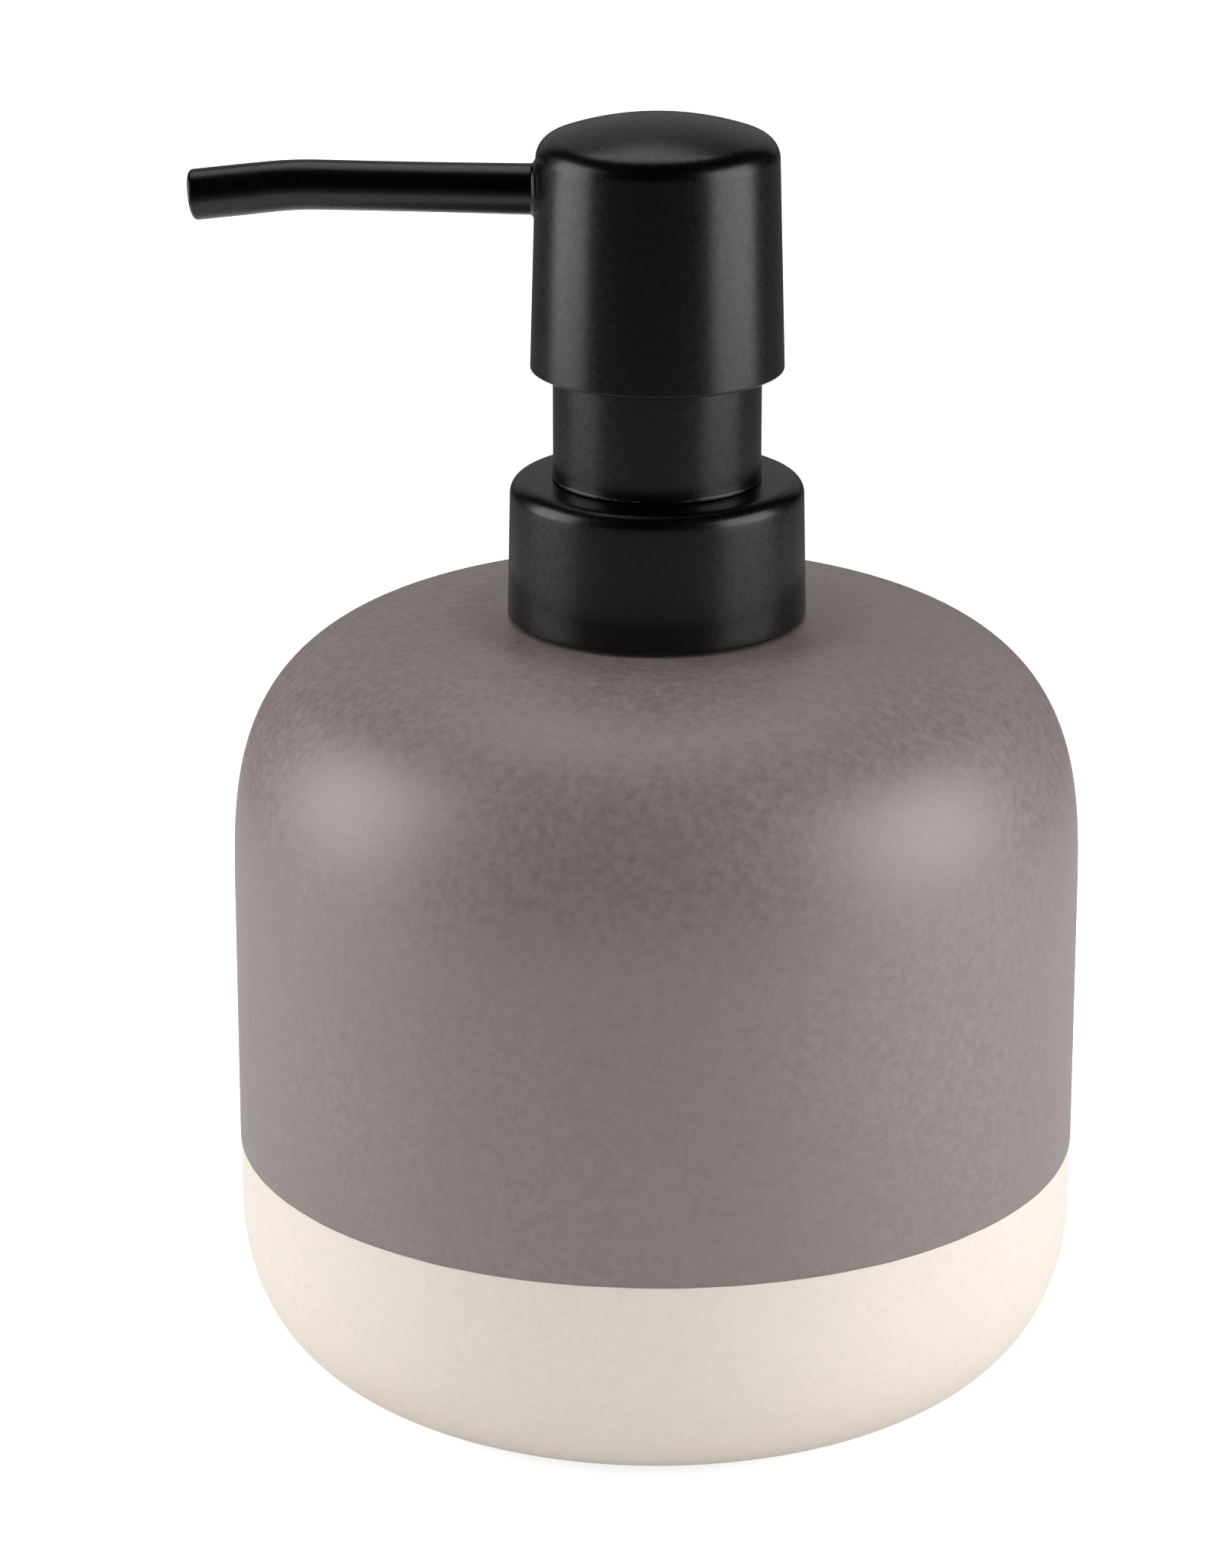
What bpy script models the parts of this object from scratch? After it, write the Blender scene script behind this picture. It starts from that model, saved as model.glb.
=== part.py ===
# Ceramic soap bottle with a lotion pump: turned bottle, screwed collar, fixed sleeve, press-down head
# and swivelling spout. Origin at the centre of the base, +Z up, spout along -X.

from math import asin, cos, degrees, pi, radians, sin, sqrt, tan

import bmesh
import bpy
from mathutils import Vector

MM = 0.001

# Clearances
FIT = 0.3 * MM            # between faces that meet
SLIDE = 0.35 * MM         # around faces that move on each other

# Bottle
BODY_R = 50.0 * MM
BODY_H = 94.0 * MM
SHOULDER_H = 34.7 * MM    # height of the domed shoulder
SHOULDER_IN = 4.0         # roundness of the shoulder across
SHOULDER_UP = 3.2         # roundness of the shoulder upwards
BASE_R = 21.4 * MM        # flat that the bottle stands on
FOOT_H = 22.2 * MM        # height of the rounded foot
FOOT_IN = 3.2
FOOT_UP = 2.25
WALL = 5.0 * MM
FLOOR_T = 6.0 * MM
SHOULDER_T = 6.0 * MM
CAVITY_BASE_R = 20.0 * MM

# Threaded insert in the mouth
INSERT_WALL = 1.6 * MM
INSERT_DEPTH = 12.0 * MM
INSERT_FLANGE_T = 1.2 * MM
NECK_WALL = 2.3 * MM
NECK_H = 8.0 * MM
THREAD_PITCH = 3.6 * MM
THREAD_TURNS = 1.25
THREAD_R = 0.6 * MM       # radius of the thread's round ridge
THREAD_CLEAR = 0.5 * MM
THREAD_LEAD = 1.5 * MM    # from the bottom edge of the threaded ring to its ridge

# Stack that the collar clamps
GASKET_T = 0.9 * MM
FLANGE_LIP = 1.9 * MM     # flanges reach this far past the sleeve's spigot
NECK_STEP = 0.7 * MM      # neck narrower than the flanges
HOUSING_FLANGE_T = 1.0 * MM
SLEEVE_FLANGE_T = 0.9 * MM
WEB_T = 0.9 * MM

# Collar
COLLAR_WALL = 1.45 * MM   # at the top
COLLAR_DRAFT = 0.35 * MM  # how much wider the bottom edge is
COLLAR_PLATE_T = 1.2 * MM
COLLAR_FILLET = 1.8 * MM
SKIRT_EDGE = 0.25 * MM    # round on the bottom edges of collar and head
RING_WALL = 1.05 * MM     # wall of the threaded ring

# Sleeve
SLEEVE_R = 12.1 * MM
SLEEVE_WALL = 1.6 * MM
SLEEVE_FLARE = 0.15 * MM
SLEEVE_FLARE_H = 2.0 * MM
SPIGOT_STEP = 0.6 * MM

# Pump cylinder
BORE_R = 6.8 * MM
CYLINDER_WALL = 1.2 * MM
CYLINDER_FLOOR_T = 1.4 * MM
BALL_R = 2.2 * MM
BALL_LIFT = 1.0 * MM
BALL_POCKET_H = 4.4 * MM
SEAT_R = 1.3 * MM
SEAT_LAND = 1.2 * MM
SOCKET_L = 10.0 * MM
SOCKET_WALL = 1.2 * MM

# Dip tube
DIP_R = 3.0 * MM
DIP_WALL = 0.8 * MM
DIP_FLOOR_GAP = 2.5 * MM
DIP_SLANT = radians(35)

# Stem, piston and spring
STEM_R = 3.6 * MM
STEM_BORE_R = 1.9 * MM
STEM_TOP_DROP = 7.8 * MM  # from the spout's centre line down to the stem's top
STEM_RING_R = 5.2 * MM
STEM_RING_T = 1.0 * MM
STROKE = 12.5 * MM
CHAPLET_PLUG_L = 3.2 * MM
CHAPLET_BOSS_R = 6.0 * MM
CHAPLET_BOSS_H = 2.4 * MM
PISTON_L = 4.2 * MM
PISTON_LIP = 0.9 * MM
PLUG_FLANGE_T = 1.2 * MM
PLUG_SPIGOT_L = 5.0 * MM
PLUG_BORE_R = 0.8 * MM
CAGE_T = 1.3 * MM
CAGE_BORE_R = 1.3 * MM
SPRING_R = 5.0 * MM       # centre line of the coil
SPRING_WIRE_R = 0.45 * MM
SPRING_TURNS = 6
SPRING_END_PITCH = 1.1 * MM  # rise of each closed end turn
SPRING_SPARE = 6.6 * MM   # free length left when the spring is fully pressed

# Head and spout
HEAD_CLEAR = 0.45 * MM    # between the sleeve and the narrow end of the head's bore
HEAD_DRAFT = 0.71 * MM    # how much wider the bottom edge is
HEAD_H = 29.25 * MM
HEAD_DOME_R = 35.7 * MM   # sphere that the top is part of
HEAD_FILLET = 2.8 * MM    # round between the dome and the wall
HEAD_WALL = 1.45 * MM
HEAD_TOP_T = 1.3 * MM
HEAD_PARK = 0.6 * MM      # head's bottom edge above the collar when fully pressed
SLEEVE_CLEAR = 0.65 * MM  # sleeve's top below the spout when fully pressed
SPOUT_R = 2.95 * MM
SPOUT_BORE_R = 2.0 * MM
SPOUT_REACH = 53.9 * MM
SPOUT_BEND = radians(7.2)
SPOUT_BEND_L = 6.0 * MM
SPOUT_TIP_L = 8.9 * MM    # straight end after the bend
CORE_R = 8.0 * MM
CORE_ROOF = 2.85 * MM
CORE_SKIRT_L = 12.8 * MM  # core below the spout's centre line
CORE_PLUG_R = 4.6 * MM    # depth that the spout reaches, from the axis
CHANNEL_R = 1.8 * MM

# Facets around each piece
ROUND_BOTTLE = 48
ROUND_SHELL = 40
ROUND_INNER = 24
ROUND_BALL = 16
SPRING_FACETS = 14        # along each turn of the coil

# Facets along each curve of a profile
SHOULDER_STEPS = 14
CAVITY_SHOULDER_STEPS = 9
FOOT_STEPS = 8
CAVITY_FOOT_STEPS = 5
FILLET_STEPS = 5
EDGE_STEPS = 3
DOME_STEPS = 7
BALL_STEPS = 10
SPOUT_STEPS = 6

# Radii that follow from the sizes above
spigot_r = SLEEVE_R - SPIGOT_STEP
sleeve_bore_r = SLEEVE_R - SLEEVE_WALL
flange_r = spigot_r + FLANGE_LIP
neck_r = flange_r - NECK_STEP
thread_crest_r = neck_r + THREAD_R
ring_bore_r = thread_crest_r + 2 * THREAD_CLEAR
ring_r = ring_bore_r + RING_WALL
collar_bore_r = ring_r + FIT
insert_flange_r = ring_bore_r + FIT
insert_bore_r = neck_r - NECK_WALL
insert_r = insert_bore_r + INSERT_WALL
mouth_r = insert_r + FIT
cylinder_r = BORE_R + CYLINDER_WALL
pocket_r = BALL_R + FIT
chamber_r = pocket_r + FIT
socket_r = DIP_R + FIT
stem_hole_r = STEM_R + SLIDE
head_bore_r = SLEEVE_R + HEAD_CLEAR
head_top_r = head_bore_r + HEAD_WALL
head_bottom_r = head_top_r + HEAD_DRAFT

# Heights that follow, from the bottle's mouth up
insert_flange_z = BODY_H + FIT
neck_base_z = insert_flange_z + INSERT_FLANGE_T
neck_top_z = neck_base_z + NECK_H
gasket_z = neck_top_z + FIT
housing_flange_z = gasket_z + GASKET_T + FIT
housing_top_z = housing_flange_z + HOUSING_FLANGE_T
sleeve_flange_z = housing_top_z + FIT
sleeve_flange_top_z = sleeve_flange_z + SLEEVE_FLANGE_T
web_z = sleeve_flange_top_z + FIT
web_top_z = web_z + WEB_T
collar_plate_z = web_top_z + FIT
collar_top_z = collar_plate_z + COLLAR_PLATE_T
collar_bottom_z = BODY_H + FIT
sleeve_rim_z = collar_top_z + FIT
head_bottom_z = collar_top_z + STROKE + HEAD_PARK
dome_centre_z = head_bottom_z + HEAD_H - HEAD_DOME_R
ceiling_r = HEAD_DOME_R - HEAD_TOP_T
core_top_z = dome_centre_z + sqrt(ceiling_r ** 2 - CORE_R ** 2) - FIT
spout_z = core_top_z - CORE_ROOF - SPOUT_R - FIT
sleeve_top_z = spout_z - SPOUT_R - FIT - STROKE - SLEEVE_CLEAR
core_bottom_z = spout_z - CORE_SKIRT_L

# Heights that follow, from the flanges down and up the pump
stem_top_z = spout_z - STEM_TOP_DROP
outlet_ball_z = stem_top_z + sqrt((BALL_R + FIT) ** 2 - STEM_BORE_R ** 2)
outlet_cage_z = outlet_ball_z + BALL_R + BALL_LIFT + FIT
chaplet_bottom_z = sleeve_flange_z - CHAPLET_PLUG_L
stem_ring_top_z = chaplet_bottom_z - FIT
stem_ring_z = stem_ring_top_z - STEM_RING_T
piston_top_z = stem_ring_z - FIT
piston_bottom_z = piston_top_z - PISTON_L
plug_flange_top_z = piston_bottom_z - FIT
plug_flange_z = plug_flange_top_z - PLUG_FLANGE_T
spring_pressed_l = SPRING_TURNS * 2 * SPRING_WIRE_R + SPRING_SPARE
spring_seat_top_z = plug_flange_z - STROKE - spring_pressed_l
spring_seat_z = spring_seat_top_z - CAGE_T
cylinder_floor_z = spring_seat_z - FIT
cone_top_z = cylinder_floor_z - BALL_POCKET_H
cone_bottom_z = cone_top_z - (pocket_r - SEAT_R)
inlet_ball_z = cone_bottom_z - SEAT_R + (BALL_R + FIT) * sqrt(2)
socket_top_z = cone_bottom_z - SEAT_LAND
dip_bottom_z = FLOOR_T + DIP_FLOOR_GAP


def clear_scene():
    for old in list(bpy.data.objects):
        bpy.data.objects.remove(old, do_unlink=True)


def new_collection(name):
    group = bpy.data.collections.new(name)
    bpy.context.scene.collection.children.link(group)
    return group


def material(name, colour, roughness, metallic):
    mat = bpy.data.materials.new(name)
    mat.use_nodes = True
    shader = mat.node_tree.nodes["Principled BSDF"]
    shader.inputs["Base Color"].default_value = (*colour, 1.0)
    shader.inputs["Roughness"].default_value = roughness
    shader.inputs["Metallic"].default_value = metallic
    return mat


def arc(centre_r, centre_z, radius, start_deg, end_deg, steps):
    # points along an arc of the profile, both ends included
    angles = [radians(start_deg + (end_deg - start_deg) * i / steps) for i in range(steps + 1)]
    return [(centre_r + radius * cos(a), centre_z + radius * sin(a)) for a in angles]


def shoulder(wall_r, top_z, height, steps):
    # superellipse from the top of the wall inwards to the axis
    angles = [pi / 2 * i / steps for i in range(steps + 1)]
    return [
        (wall_r * cos(a) ** (2 / SHOULDER_IN), top_z - height + height * sin(a) ** (2 / SHOULDER_UP))
        for a in angles
    ]


def foot(flat_r, wall_r, bottom_z, height, steps):
    # superellipse from the flat of the base out and up to the wall
    angles = [pi / 2 * i / steps for i in range(steps + 1)]
    return [
        (
            flat_r + (wall_r - flat_r) * sin(a) ** (2 / FOOT_IN),
            bottom_z + height * (1 - cos(a) ** (2 / FOOT_UP)),
        )
        for a in angles
    ]


def bake(obj):
    # replace the object's mesh by what its modifiers make, shaded smooth with sharp corners
    depsgraph = bpy.context.evaluated_depsgraph_get()
    mesh = bpy.data.meshes.new_from_object(obj.evaluated_get(depsgraph))
    mesh.name = obj.name
    obj.modifiers.clear()
    obj.data = mesh
    mesh.shade_smooth()
    mesh.set_sharp_from_angle(angle=radians(35))


def turned(name, profile, steps, closed, group):
    # profile of (radius, height) points, outer side running down, turned about Z
    mesh = bpy.data.meshes.new(name)
    count = len(profile)
    edges = [(i, i + 1) for i in range(count - 1)]
    if closed:
        edges.append((count - 1, 0))
    mesh.from_pydata([(r, 0.0, z) for r, z in profile], edges, [])
    obj = bpy.data.objects.new(name, mesh)
    group.objects.link(obj)
    screw = obj.modifiers.new("turn", "SCREW")
    screw.steps = steps
    screw.render_steps = steps
    screw.use_merge_vertices = True
    screw.merge_threshold = 0.00001
    bake(obj)
    return obj


def tube_mesh(name, points, radius, resolution, group):
    # round bar along the points, made into one closed mesh
    curve = bpy.data.curves.new(name + "_path", "CURVE")
    curve.dimensions = "3D"
    curve.bevel_depth = radius
    curve.bevel_resolution = resolution
    curve.use_fill_caps = True
    spline = curve.splines.new("POLY")
    spline.points.add(len(points) - 1)
    for point, place in zip(spline.points, points):
        point.co = (*place, 1.0)
    bar = bpy.data.objects.new(name + "_path", curve)
    group.objects.link(bar)
    depsgraph = bpy.context.evaluated_depsgraph_get()
    mesh = bpy.data.meshes.new_from_object(bar.evaluated_get(depsgraph))
    mesh.name = name
    shape = bmesh.new()
    shape.from_mesh(mesh)
    bmesh.ops.remove_doubles(shape, verts=shape.verts, dist=0.000001)
    shape.to_mesh(mesh)
    shape.free()
    obj = bpy.data.objects.new(name, mesh)
    obj.matrix_world = bar.matrix_world
    group.objects.link(obj)
    bpy.data.objects.remove(bar, do_unlink=True)
    mesh.shade_smooth()
    mesh.set_sharp_from_angle(angle=radians(40))
    return obj


def hide_cutter(obj):
    obj.hide_render = True
    obj.display_type = "WIRE"


def combine(obj, tool, operation):
    boolean = obj.modifiers.new(operation.lower(), "BOOLEAN")
    boolean.operation = operation
    boolean.solver = "EXACT"
    boolean.object = tool
    bake(obj)


def bar_along_x(name, radius, from_x, to_x, height, group):
    # round cutter lying along X
    mesh = bpy.data.meshes.new(name)
    shape = bmesh.new()
    bmesh.ops.create_cone(
        shape, cap_ends=True, segments=ROUND_INNER, radius1=radius, radius2=radius, depth=abs(to_x - from_x)
    )
    shape.to_mesh(mesh)
    shape.free()
    obj = bpy.data.objects.new(name, mesh)
    group.objects.link(obj)
    obj.location = ((from_x + to_x) / 2, 0.0, height)
    obj.rotation_euler = (0.0, pi / 2, 0.0)
    hide_cutter(obj)
    return obj


def helix(radius, start_z, rise, turns, per_turn):
    steps = round(turns * per_turn)
    angles = [2 * pi * turns * i / steps for i in range(steps + 1)]
    return [(radius * cos(a), radius * sin(a), start_z + rise * i / steps) for i, a in enumerate(angles)]


def make_bottle(group):
    mouth_face_r = insert_flange_r + FIT
    outer = [p for p in shoulder(BODY_R, BODY_H, SHOULDER_H, SHOULDER_STEPS) if p[0] > mouth_face_r]
    cavity_top_z = BODY_H - SHOULDER_T
    cavity_r = BODY_R - WALL
    inner = shoulder(cavity_r, cavity_top_z, SHOULDER_H - WALL, CAVITY_SHOULDER_STEPS)
    profile = [(0.0, FLOOR_T)]
    profile += foot(CAVITY_BASE_R, cavity_r, FLOOR_T, FOOT_H - WALL, CAVITY_FOOT_STEPS)
    profile += [p for p in inner if p[0] > mouth_r]
    profile += [(mouth_r, cavity_top_z), (mouth_r, BODY_H), (mouth_face_r, BODY_H)]
    profile += list(reversed(outer))
    profile += list(reversed(foot(BASE_R, BODY_R, 0.0, FOOT_H, FOOT_STEPS)))
    profile += [(0.0, 0.0)]
    return turned("bottle", profile, ROUND_BOTTLE, False, group)


def make_neck_insert(group, cutters):
    profile = [
        (insert_bore_r, neck_top_z),
        (neck_r, neck_top_z),
        (neck_r, neck_base_z),
        (insert_flange_r, neck_base_z),
        (insert_flange_r, insert_flange_z),
        (insert_r, insert_flange_z),
        (insert_r, BODY_H - INSERT_DEPTH),
        (insert_bore_r, BODY_H - INSERT_DEPTH),
    ]
    obj = turned("neck_insert", profile, ROUND_SHELL, True, group)
    rise = THREAD_TURNS * THREAD_PITCH
    start_z = neck_base_z + (NECK_H - rise) / 2
    path = helix(neck_r, start_z, rise, THREAD_TURNS, ROUND_SHELL // 2)
    thread = tube_mesh("neck_thread", path, THREAD_R, 1, cutters)
    hide_cutter(thread)
    combine(obj, thread, "UNION")
    return obj


def make_neck_gasket(group):
    hole_r = cylinder_r + THREAD_CLEAR + FIT
    profile = [
        (hole_r, gasket_z + GASKET_T),
        (neck_r, gasket_z + GASKET_T),
        (neck_r, gasket_z),
        (hole_r, gasket_z),
    ]
    return turned("neck_gasket", profile, ROUND_INNER, True, group)


def make_closure_ring(group, cutters):
    bottom_z = neck_base_z + THREAD_CLEAR
    web_hole_r = spigot_r + FIT + SLIDE
    profile = [
        (web_hole_r, web_top_z),
        (ring_r, web_top_z),
        (ring_r, bottom_z),
        (ring_bore_r, bottom_z),
        (ring_bore_r, web_z),
        (web_hole_r, web_z),
    ]
    obj = turned("closure_ring", profile, ROUND_SHELL, True, group)
    rise = THREAD_TURNS * THREAD_PITCH
    path = helix(ring_bore_r, bottom_z + THREAD_LEAD, rise, THREAD_TURNS, ROUND_SHELL // 2)
    thread = tube_mesh("ring_thread", path, THREAD_CLEAR, 1, cutters)
    hide_cutter(thread)
    combine(obj, thread, "UNION")
    return obj


def make_collar_shell(group):
    top_r = collar_bore_r + COLLAR_WALL
    bottom_r = top_r + COLLAR_DRAFT
    hole_r = spigot_r + FIT
    profile = [(hole_r, collar_top_z)]
    profile += arc(top_r - COLLAR_FILLET, collar_top_z - COLLAR_FILLET, COLLAR_FILLET, 90, 0, FILLET_STEPS)
    profile += arc(bottom_r - SKIRT_EDGE, collar_bottom_z + SKIRT_EDGE, SKIRT_EDGE, 0, -90, EDGE_STEPS)
    profile += [
        (collar_bore_r, collar_bottom_z),
        (collar_bore_r, collar_plate_z),
        (hole_r, collar_plate_z),
    ]
    return turned("collar_shell", profile, ROUND_SHELL, True, group)


def make_sleeve(group):
    profile = [
        (sleeve_bore_r, sleeve_top_z),
        (SLEEVE_R, sleeve_top_z),
        (SLEEVE_R, sleeve_rim_z + SLEEVE_FLARE_H),
        (SLEEVE_R + SLEEVE_FLARE, sleeve_rim_z),
        (spigot_r, sleeve_rim_z),
        (spigot_r, sleeve_flange_top_z),
        (flange_r, sleeve_flange_top_z),
        (flange_r, sleeve_flange_z),
        (sleeve_bore_r, sleeve_flange_z),
    ]
    return turned("sleeve", profile, ROUND_SHELL, True, group)


def make_pump_housing(group):
    socket_bottom_z = socket_top_z - SOCKET_L
    boss_r = socket_r + SOCKET_WALL
    taper_top_z = cylinder_floor_z - CYLINDER_FLOOR_T
    taper_bottom_z = taper_top_z - (cylinder_r - boss_r)
    profile = [
        (BORE_R, housing_top_z),
        (flange_r, housing_top_z),
        (flange_r, housing_flange_z),
        (cylinder_r, housing_flange_z),
        (cylinder_r, taper_top_z),
        (boss_r, taper_bottom_z),
        (boss_r, socket_bottom_z),
        (socket_r, socket_bottom_z),
        (socket_r, socket_top_z),
        (SEAT_R, socket_top_z),
        (SEAT_R, cone_bottom_z),
        (pocket_r, cone_top_z),
        (pocket_r, cylinder_floor_z),
        (BORE_R, cylinder_floor_z),
    ]
    return turned("pump_housing", profile, ROUND_INNER, True, group)


def make_chaplet(group):
    rim_r = sleeve_bore_r - FIT
    plug_r = BORE_R - FIT
    boss_top_z = sleeve_flange_top_z + CHAPLET_BOSS_H
    profile = [
        (stem_hole_r, boss_top_z),
        (CHAPLET_BOSS_R, boss_top_z),
        (CHAPLET_BOSS_R, sleeve_flange_top_z),
        (rim_r, sleeve_flange_top_z),
        (rim_r, sleeve_flange_z),
        (plug_r, sleeve_flange_z),
        (plug_r, chaplet_bottom_z),
        (stem_hole_r, chaplet_bottom_z),
    ]
    return turned("chaplet", profile, ROUND_INNER, True, group)


def make_stem(group):
    bottom_z = plug_flange_top_z + FIT
    profile = [
        (STEM_BORE_R, stem_top_z),
        (STEM_R, stem_top_z),
        (STEM_R, stem_ring_top_z),
        (STEM_RING_R, stem_ring_top_z),
        (STEM_RING_R, stem_ring_z),
        (STEM_R, stem_ring_z),
        (STEM_R, bottom_z),
        (STEM_BORE_R, bottom_z),
    ]
    return turned("stem", profile, ROUND_INNER, True, group)


def make_piston(group):
    rim_r = BORE_R - SLIDE
    waist_r = rim_r - PISTON_LIP
    lip_z = PISTON_LIP
    profile = [
        (stem_hole_r, piston_top_z),
        (rim_r, piston_top_z),
        (rim_r, piston_top_z - lip_z),
        (waist_r, piston_top_z - 2 * lip_z),
        (waist_r, piston_bottom_z + 2 * lip_z),
        (rim_r, piston_bottom_z + lip_z),
        (rim_r, piston_bottom_z),
        (stem_hole_r, piston_bottom_z),
    ]
    return turned("piston", profile, ROUND_INNER, True, group)


def make_stem_plug(group):
    spigot_top_z = plug_flange_top_z + PLUG_SPIGOT_L
    plug_spigot_r = STEM_BORE_R - FIT
    profile = [
        (PLUG_BORE_R, spigot_top_z),
        (plug_spigot_r, spigot_top_z),
        (plug_spigot_r, plug_flange_top_z),
        (STEM_RING_R, plug_flange_top_z),
        (STEM_RING_R, plug_flange_z),
        (PLUG_BORE_R, plug_flange_z),
    ]
    return turned("stem_plug", profile, ROUND_INNER, True, group)


def make_spring_seat(group):
    profile = [
        (CAGE_BORE_R, spring_seat_top_z),
        (BORE_R - FIT, spring_seat_top_z),
        (BORE_R - FIT, spring_seat_z),
        (CAGE_BORE_R, spring_seat_z),
    ]
    return turned("spring_seat", profile, ROUND_INNER, True, group)


def make_return_spring(group):
    # open coil with a closed turn at each end, between the cage and the stem plug
    low = spring_seat_top_z + FIT + SPRING_WIRE_R
    high = plug_flange_z - FIT - SPRING_WIRE_R
    steps = SPRING_TURNS * SPRING_FACETS
    points = []
    for i in range(steps + 1):
        turn = i / SPRING_FACETS
        live = min(max((turn - 1) / (SPRING_TURNS - 2), 0.0), 1.0)
        dead = min(turn, 1.0) + max(turn - SPRING_TURNS + 1, 0.0)
        height = low + dead * SPRING_END_PITCH + live * (high - low - 2 * SPRING_END_PITCH)
        angle = 2 * pi * turn
        points.append((SPRING_R * cos(angle), SPRING_R * sin(angle), height))
    return tube_mesh("return_spring", points, SPRING_WIRE_R, 1, group)


def make_ball(name, centre_z, group):
    mesh = bpy.data.meshes.new(name)
    shape = bmesh.new()
    bmesh.ops.create_uvsphere(shape, u_segments=ROUND_BALL, v_segments=BALL_STEPS, radius=BALL_R)
    shape.to_mesh(mesh)
    shape.free()
    mesh.shade_smooth()
    obj = bpy.data.objects.new(name, mesh)
    obj.location = (0.0, 0.0, centre_z)
    group.objects.link(obj)
    return obj


def make_outlet_cage(group):
    profile = [
        (CAGE_BORE_R, outlet_cage_z + CAGE_T),
        (pocket_r, outlet_cage_z + CAGE_T),
        (pocket_r, outlet_cage_z),
        (CAGE_BORE_R, outlet_cage_z),
    ]
    return turned("outlet_cage", profile, ROUND_INNER, True, group)


def make_dip_tube(group, cutters):
    top_z = socket_top_z - FIT
    profile = [
        (DIP_R - DIP_WALL, top_z),
        (DIP_R, top_z),
        (DIP_R, dip_bottom_z),
        (DIP_R - DIP_WALL, dip_bottom_z),
    ]
    obj = turned("dip_tube", profile, ROUND_INNER, True, group)
    block = 8 * DIP_R     # well past the tube's end
    mesh = bpy.data.meshes.new("slant_cutter")
    shape = bmesh.new()
    bmesh.ops.create_cube(shape, size=block)
    shape.to_mesh(mesh)
    shape.free()
    cutter = bpy.data.objects.new("slant_cutter", mesh)
    cutters.objects.link(cutter)
    cutter.rotation_euler = (0.0, DIP_SLANT, 0.0)
    offset = Vector((-sin(DIP_SLANT), 0.0, -cos(DIP_SLANT))) * (block / 2)
    lift = DIP_R * sin(DIP_SLANT) / cos(DIP_SLANT)
    cutter.location = Vector((0.0, 0.0, dip_bottom_z + lift)) + offset
    hide_cutter(cutter)
    combine(obj, cutter, "DIFFERENCE")
    return obj


def make_head_shell(group, cutters):
    # the fillet touches both the dome's sphere and the top of the wall
    fillet_centre_r = head_top_r - HEAD_FILLET
    slope = asin(fillet_centre_r / (HEAD_DOME_R - HEAD_FILLET))
    fillet_centre_z = dome_centre_z + (HEAD_DOME_R - HEAD_FILLET) * cos(slope)
    dome_end = 90 - degrees(slope)
    ceiling_end = 90 - degrees(asin(head_bore_r / ceiling_r))
    profile = arc(0.0, dome_centre_z, HEAD_DOME_R, 90, dome_end, DOME_STEPS)[:-1]
    profile += arc(fillet_centre_r, fillet_centre_z, HEAD_FILLET, dome_end, 0, FILLET_STEPS)
    profile += arc(head_bottom_r - SKIRT_EDGE, head_bottom_z + SKIRT_EDGE, SKIRT_EDGE, 0, -90, EDGE_STEPS)
    profile += [(head_bottom_r - HEAD_WALL, head_bottom_z)]
    profile += arc(0.0, dome_centre_z, ceiling_r, ceiling_end, 90, DOME_STEPS)
    profile[0] = (0.0, dome_centre_z + HEAD_DOME_R)
    profile[-1] = (0.0, dome_centre_z + ceiling_r)
    obj = turned("head_shell", profile, ROUND_SHELL, False, group)
    hole = bar_along_x("spout_hole", SPOUT_R + FIT, -2 * head_top_r, -CORE_R, spout_z, cutters)
    combine(obj, hole, "DIFFERENCE")
    return obj


def make_head_core(group, cutters):
    shelf_z = stem_top_z + FIT
    pocket_top_z = outlet_cage_z + CAGE_T + FIT
    profile = [
        (0.0, core_top_z),
        (CORE_R, core_top_z),
        (CORE_R, core_bottom_z),
        (STEM_R + FIT, core_bottom_z),
        (STEM_R + FIT, shelf_z),
        (chamber_r, shelf_z),
        (chamber_r, pocket_top_z),
        (CHANNEL_R, pocket_top_z),
        (CHANNEL_R, spout_z),
        (0.0, spout_z),
    ]
    obj = turned("head_core", profile, ROUND_INNER, False, group)
    socket = bar_along_x("spout_socket", SPOUT_R + FIT, -2 * CORE_R, -CORE_PLUG_R, spout_z, cutters)
    combine(obj, socket, "DIFFERENCE")
    channel = bar_along_x("spout_channel", CHANNEL_R, -2 * CORE_R, 0.0, spout_z, cutters)
    combine(obj, channel, "DIFFERENCE")
    return obj


def spout_path(inner_x, tip_l):
    # straight run along -X, a bend down at an even rate, then a straight end
    bend_start = SPOUT_REACH - SPOUT_TIP_L - SPOUT_BEND_L
    points = [(inner_x, 0.0, spout_z)]
    for i in range(SPOUT_STEPS + 1):
        along = i / SPOUT_STEPS
        drop = SPOUT_BEND_L * tan(SPOUT_BEND) * along ** 2 / 2
        points.append((-(bend_start + along * SPOUT_BEND_L), 0.0, spout_z - drop))
    end_x, _, end_z = points[-1]
    points.append((end_x - tip_l, 0.0, end_z - tip_l * tan(SPOUT_BEND)))
    return points


def make_spout(group, cutters):
    obj = tube_mesh("spout", spout_path(-CORE_PLUG_R - FIT, SPOUT_TIP_L), SPOUT_R, 4, group)
    bore_points = spout_path(-CORE_PLUG_R + SPOUT_R, SPOUT_TIP_L + SPOUT_R)
    bore = tube_mesh("spout_bore", bore_points, SPOUT_BORE_R, 3, cutters)
    hide_cutter(bore)
    combine(obj, bore, "DIFFERENCE")
    return obj


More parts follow.
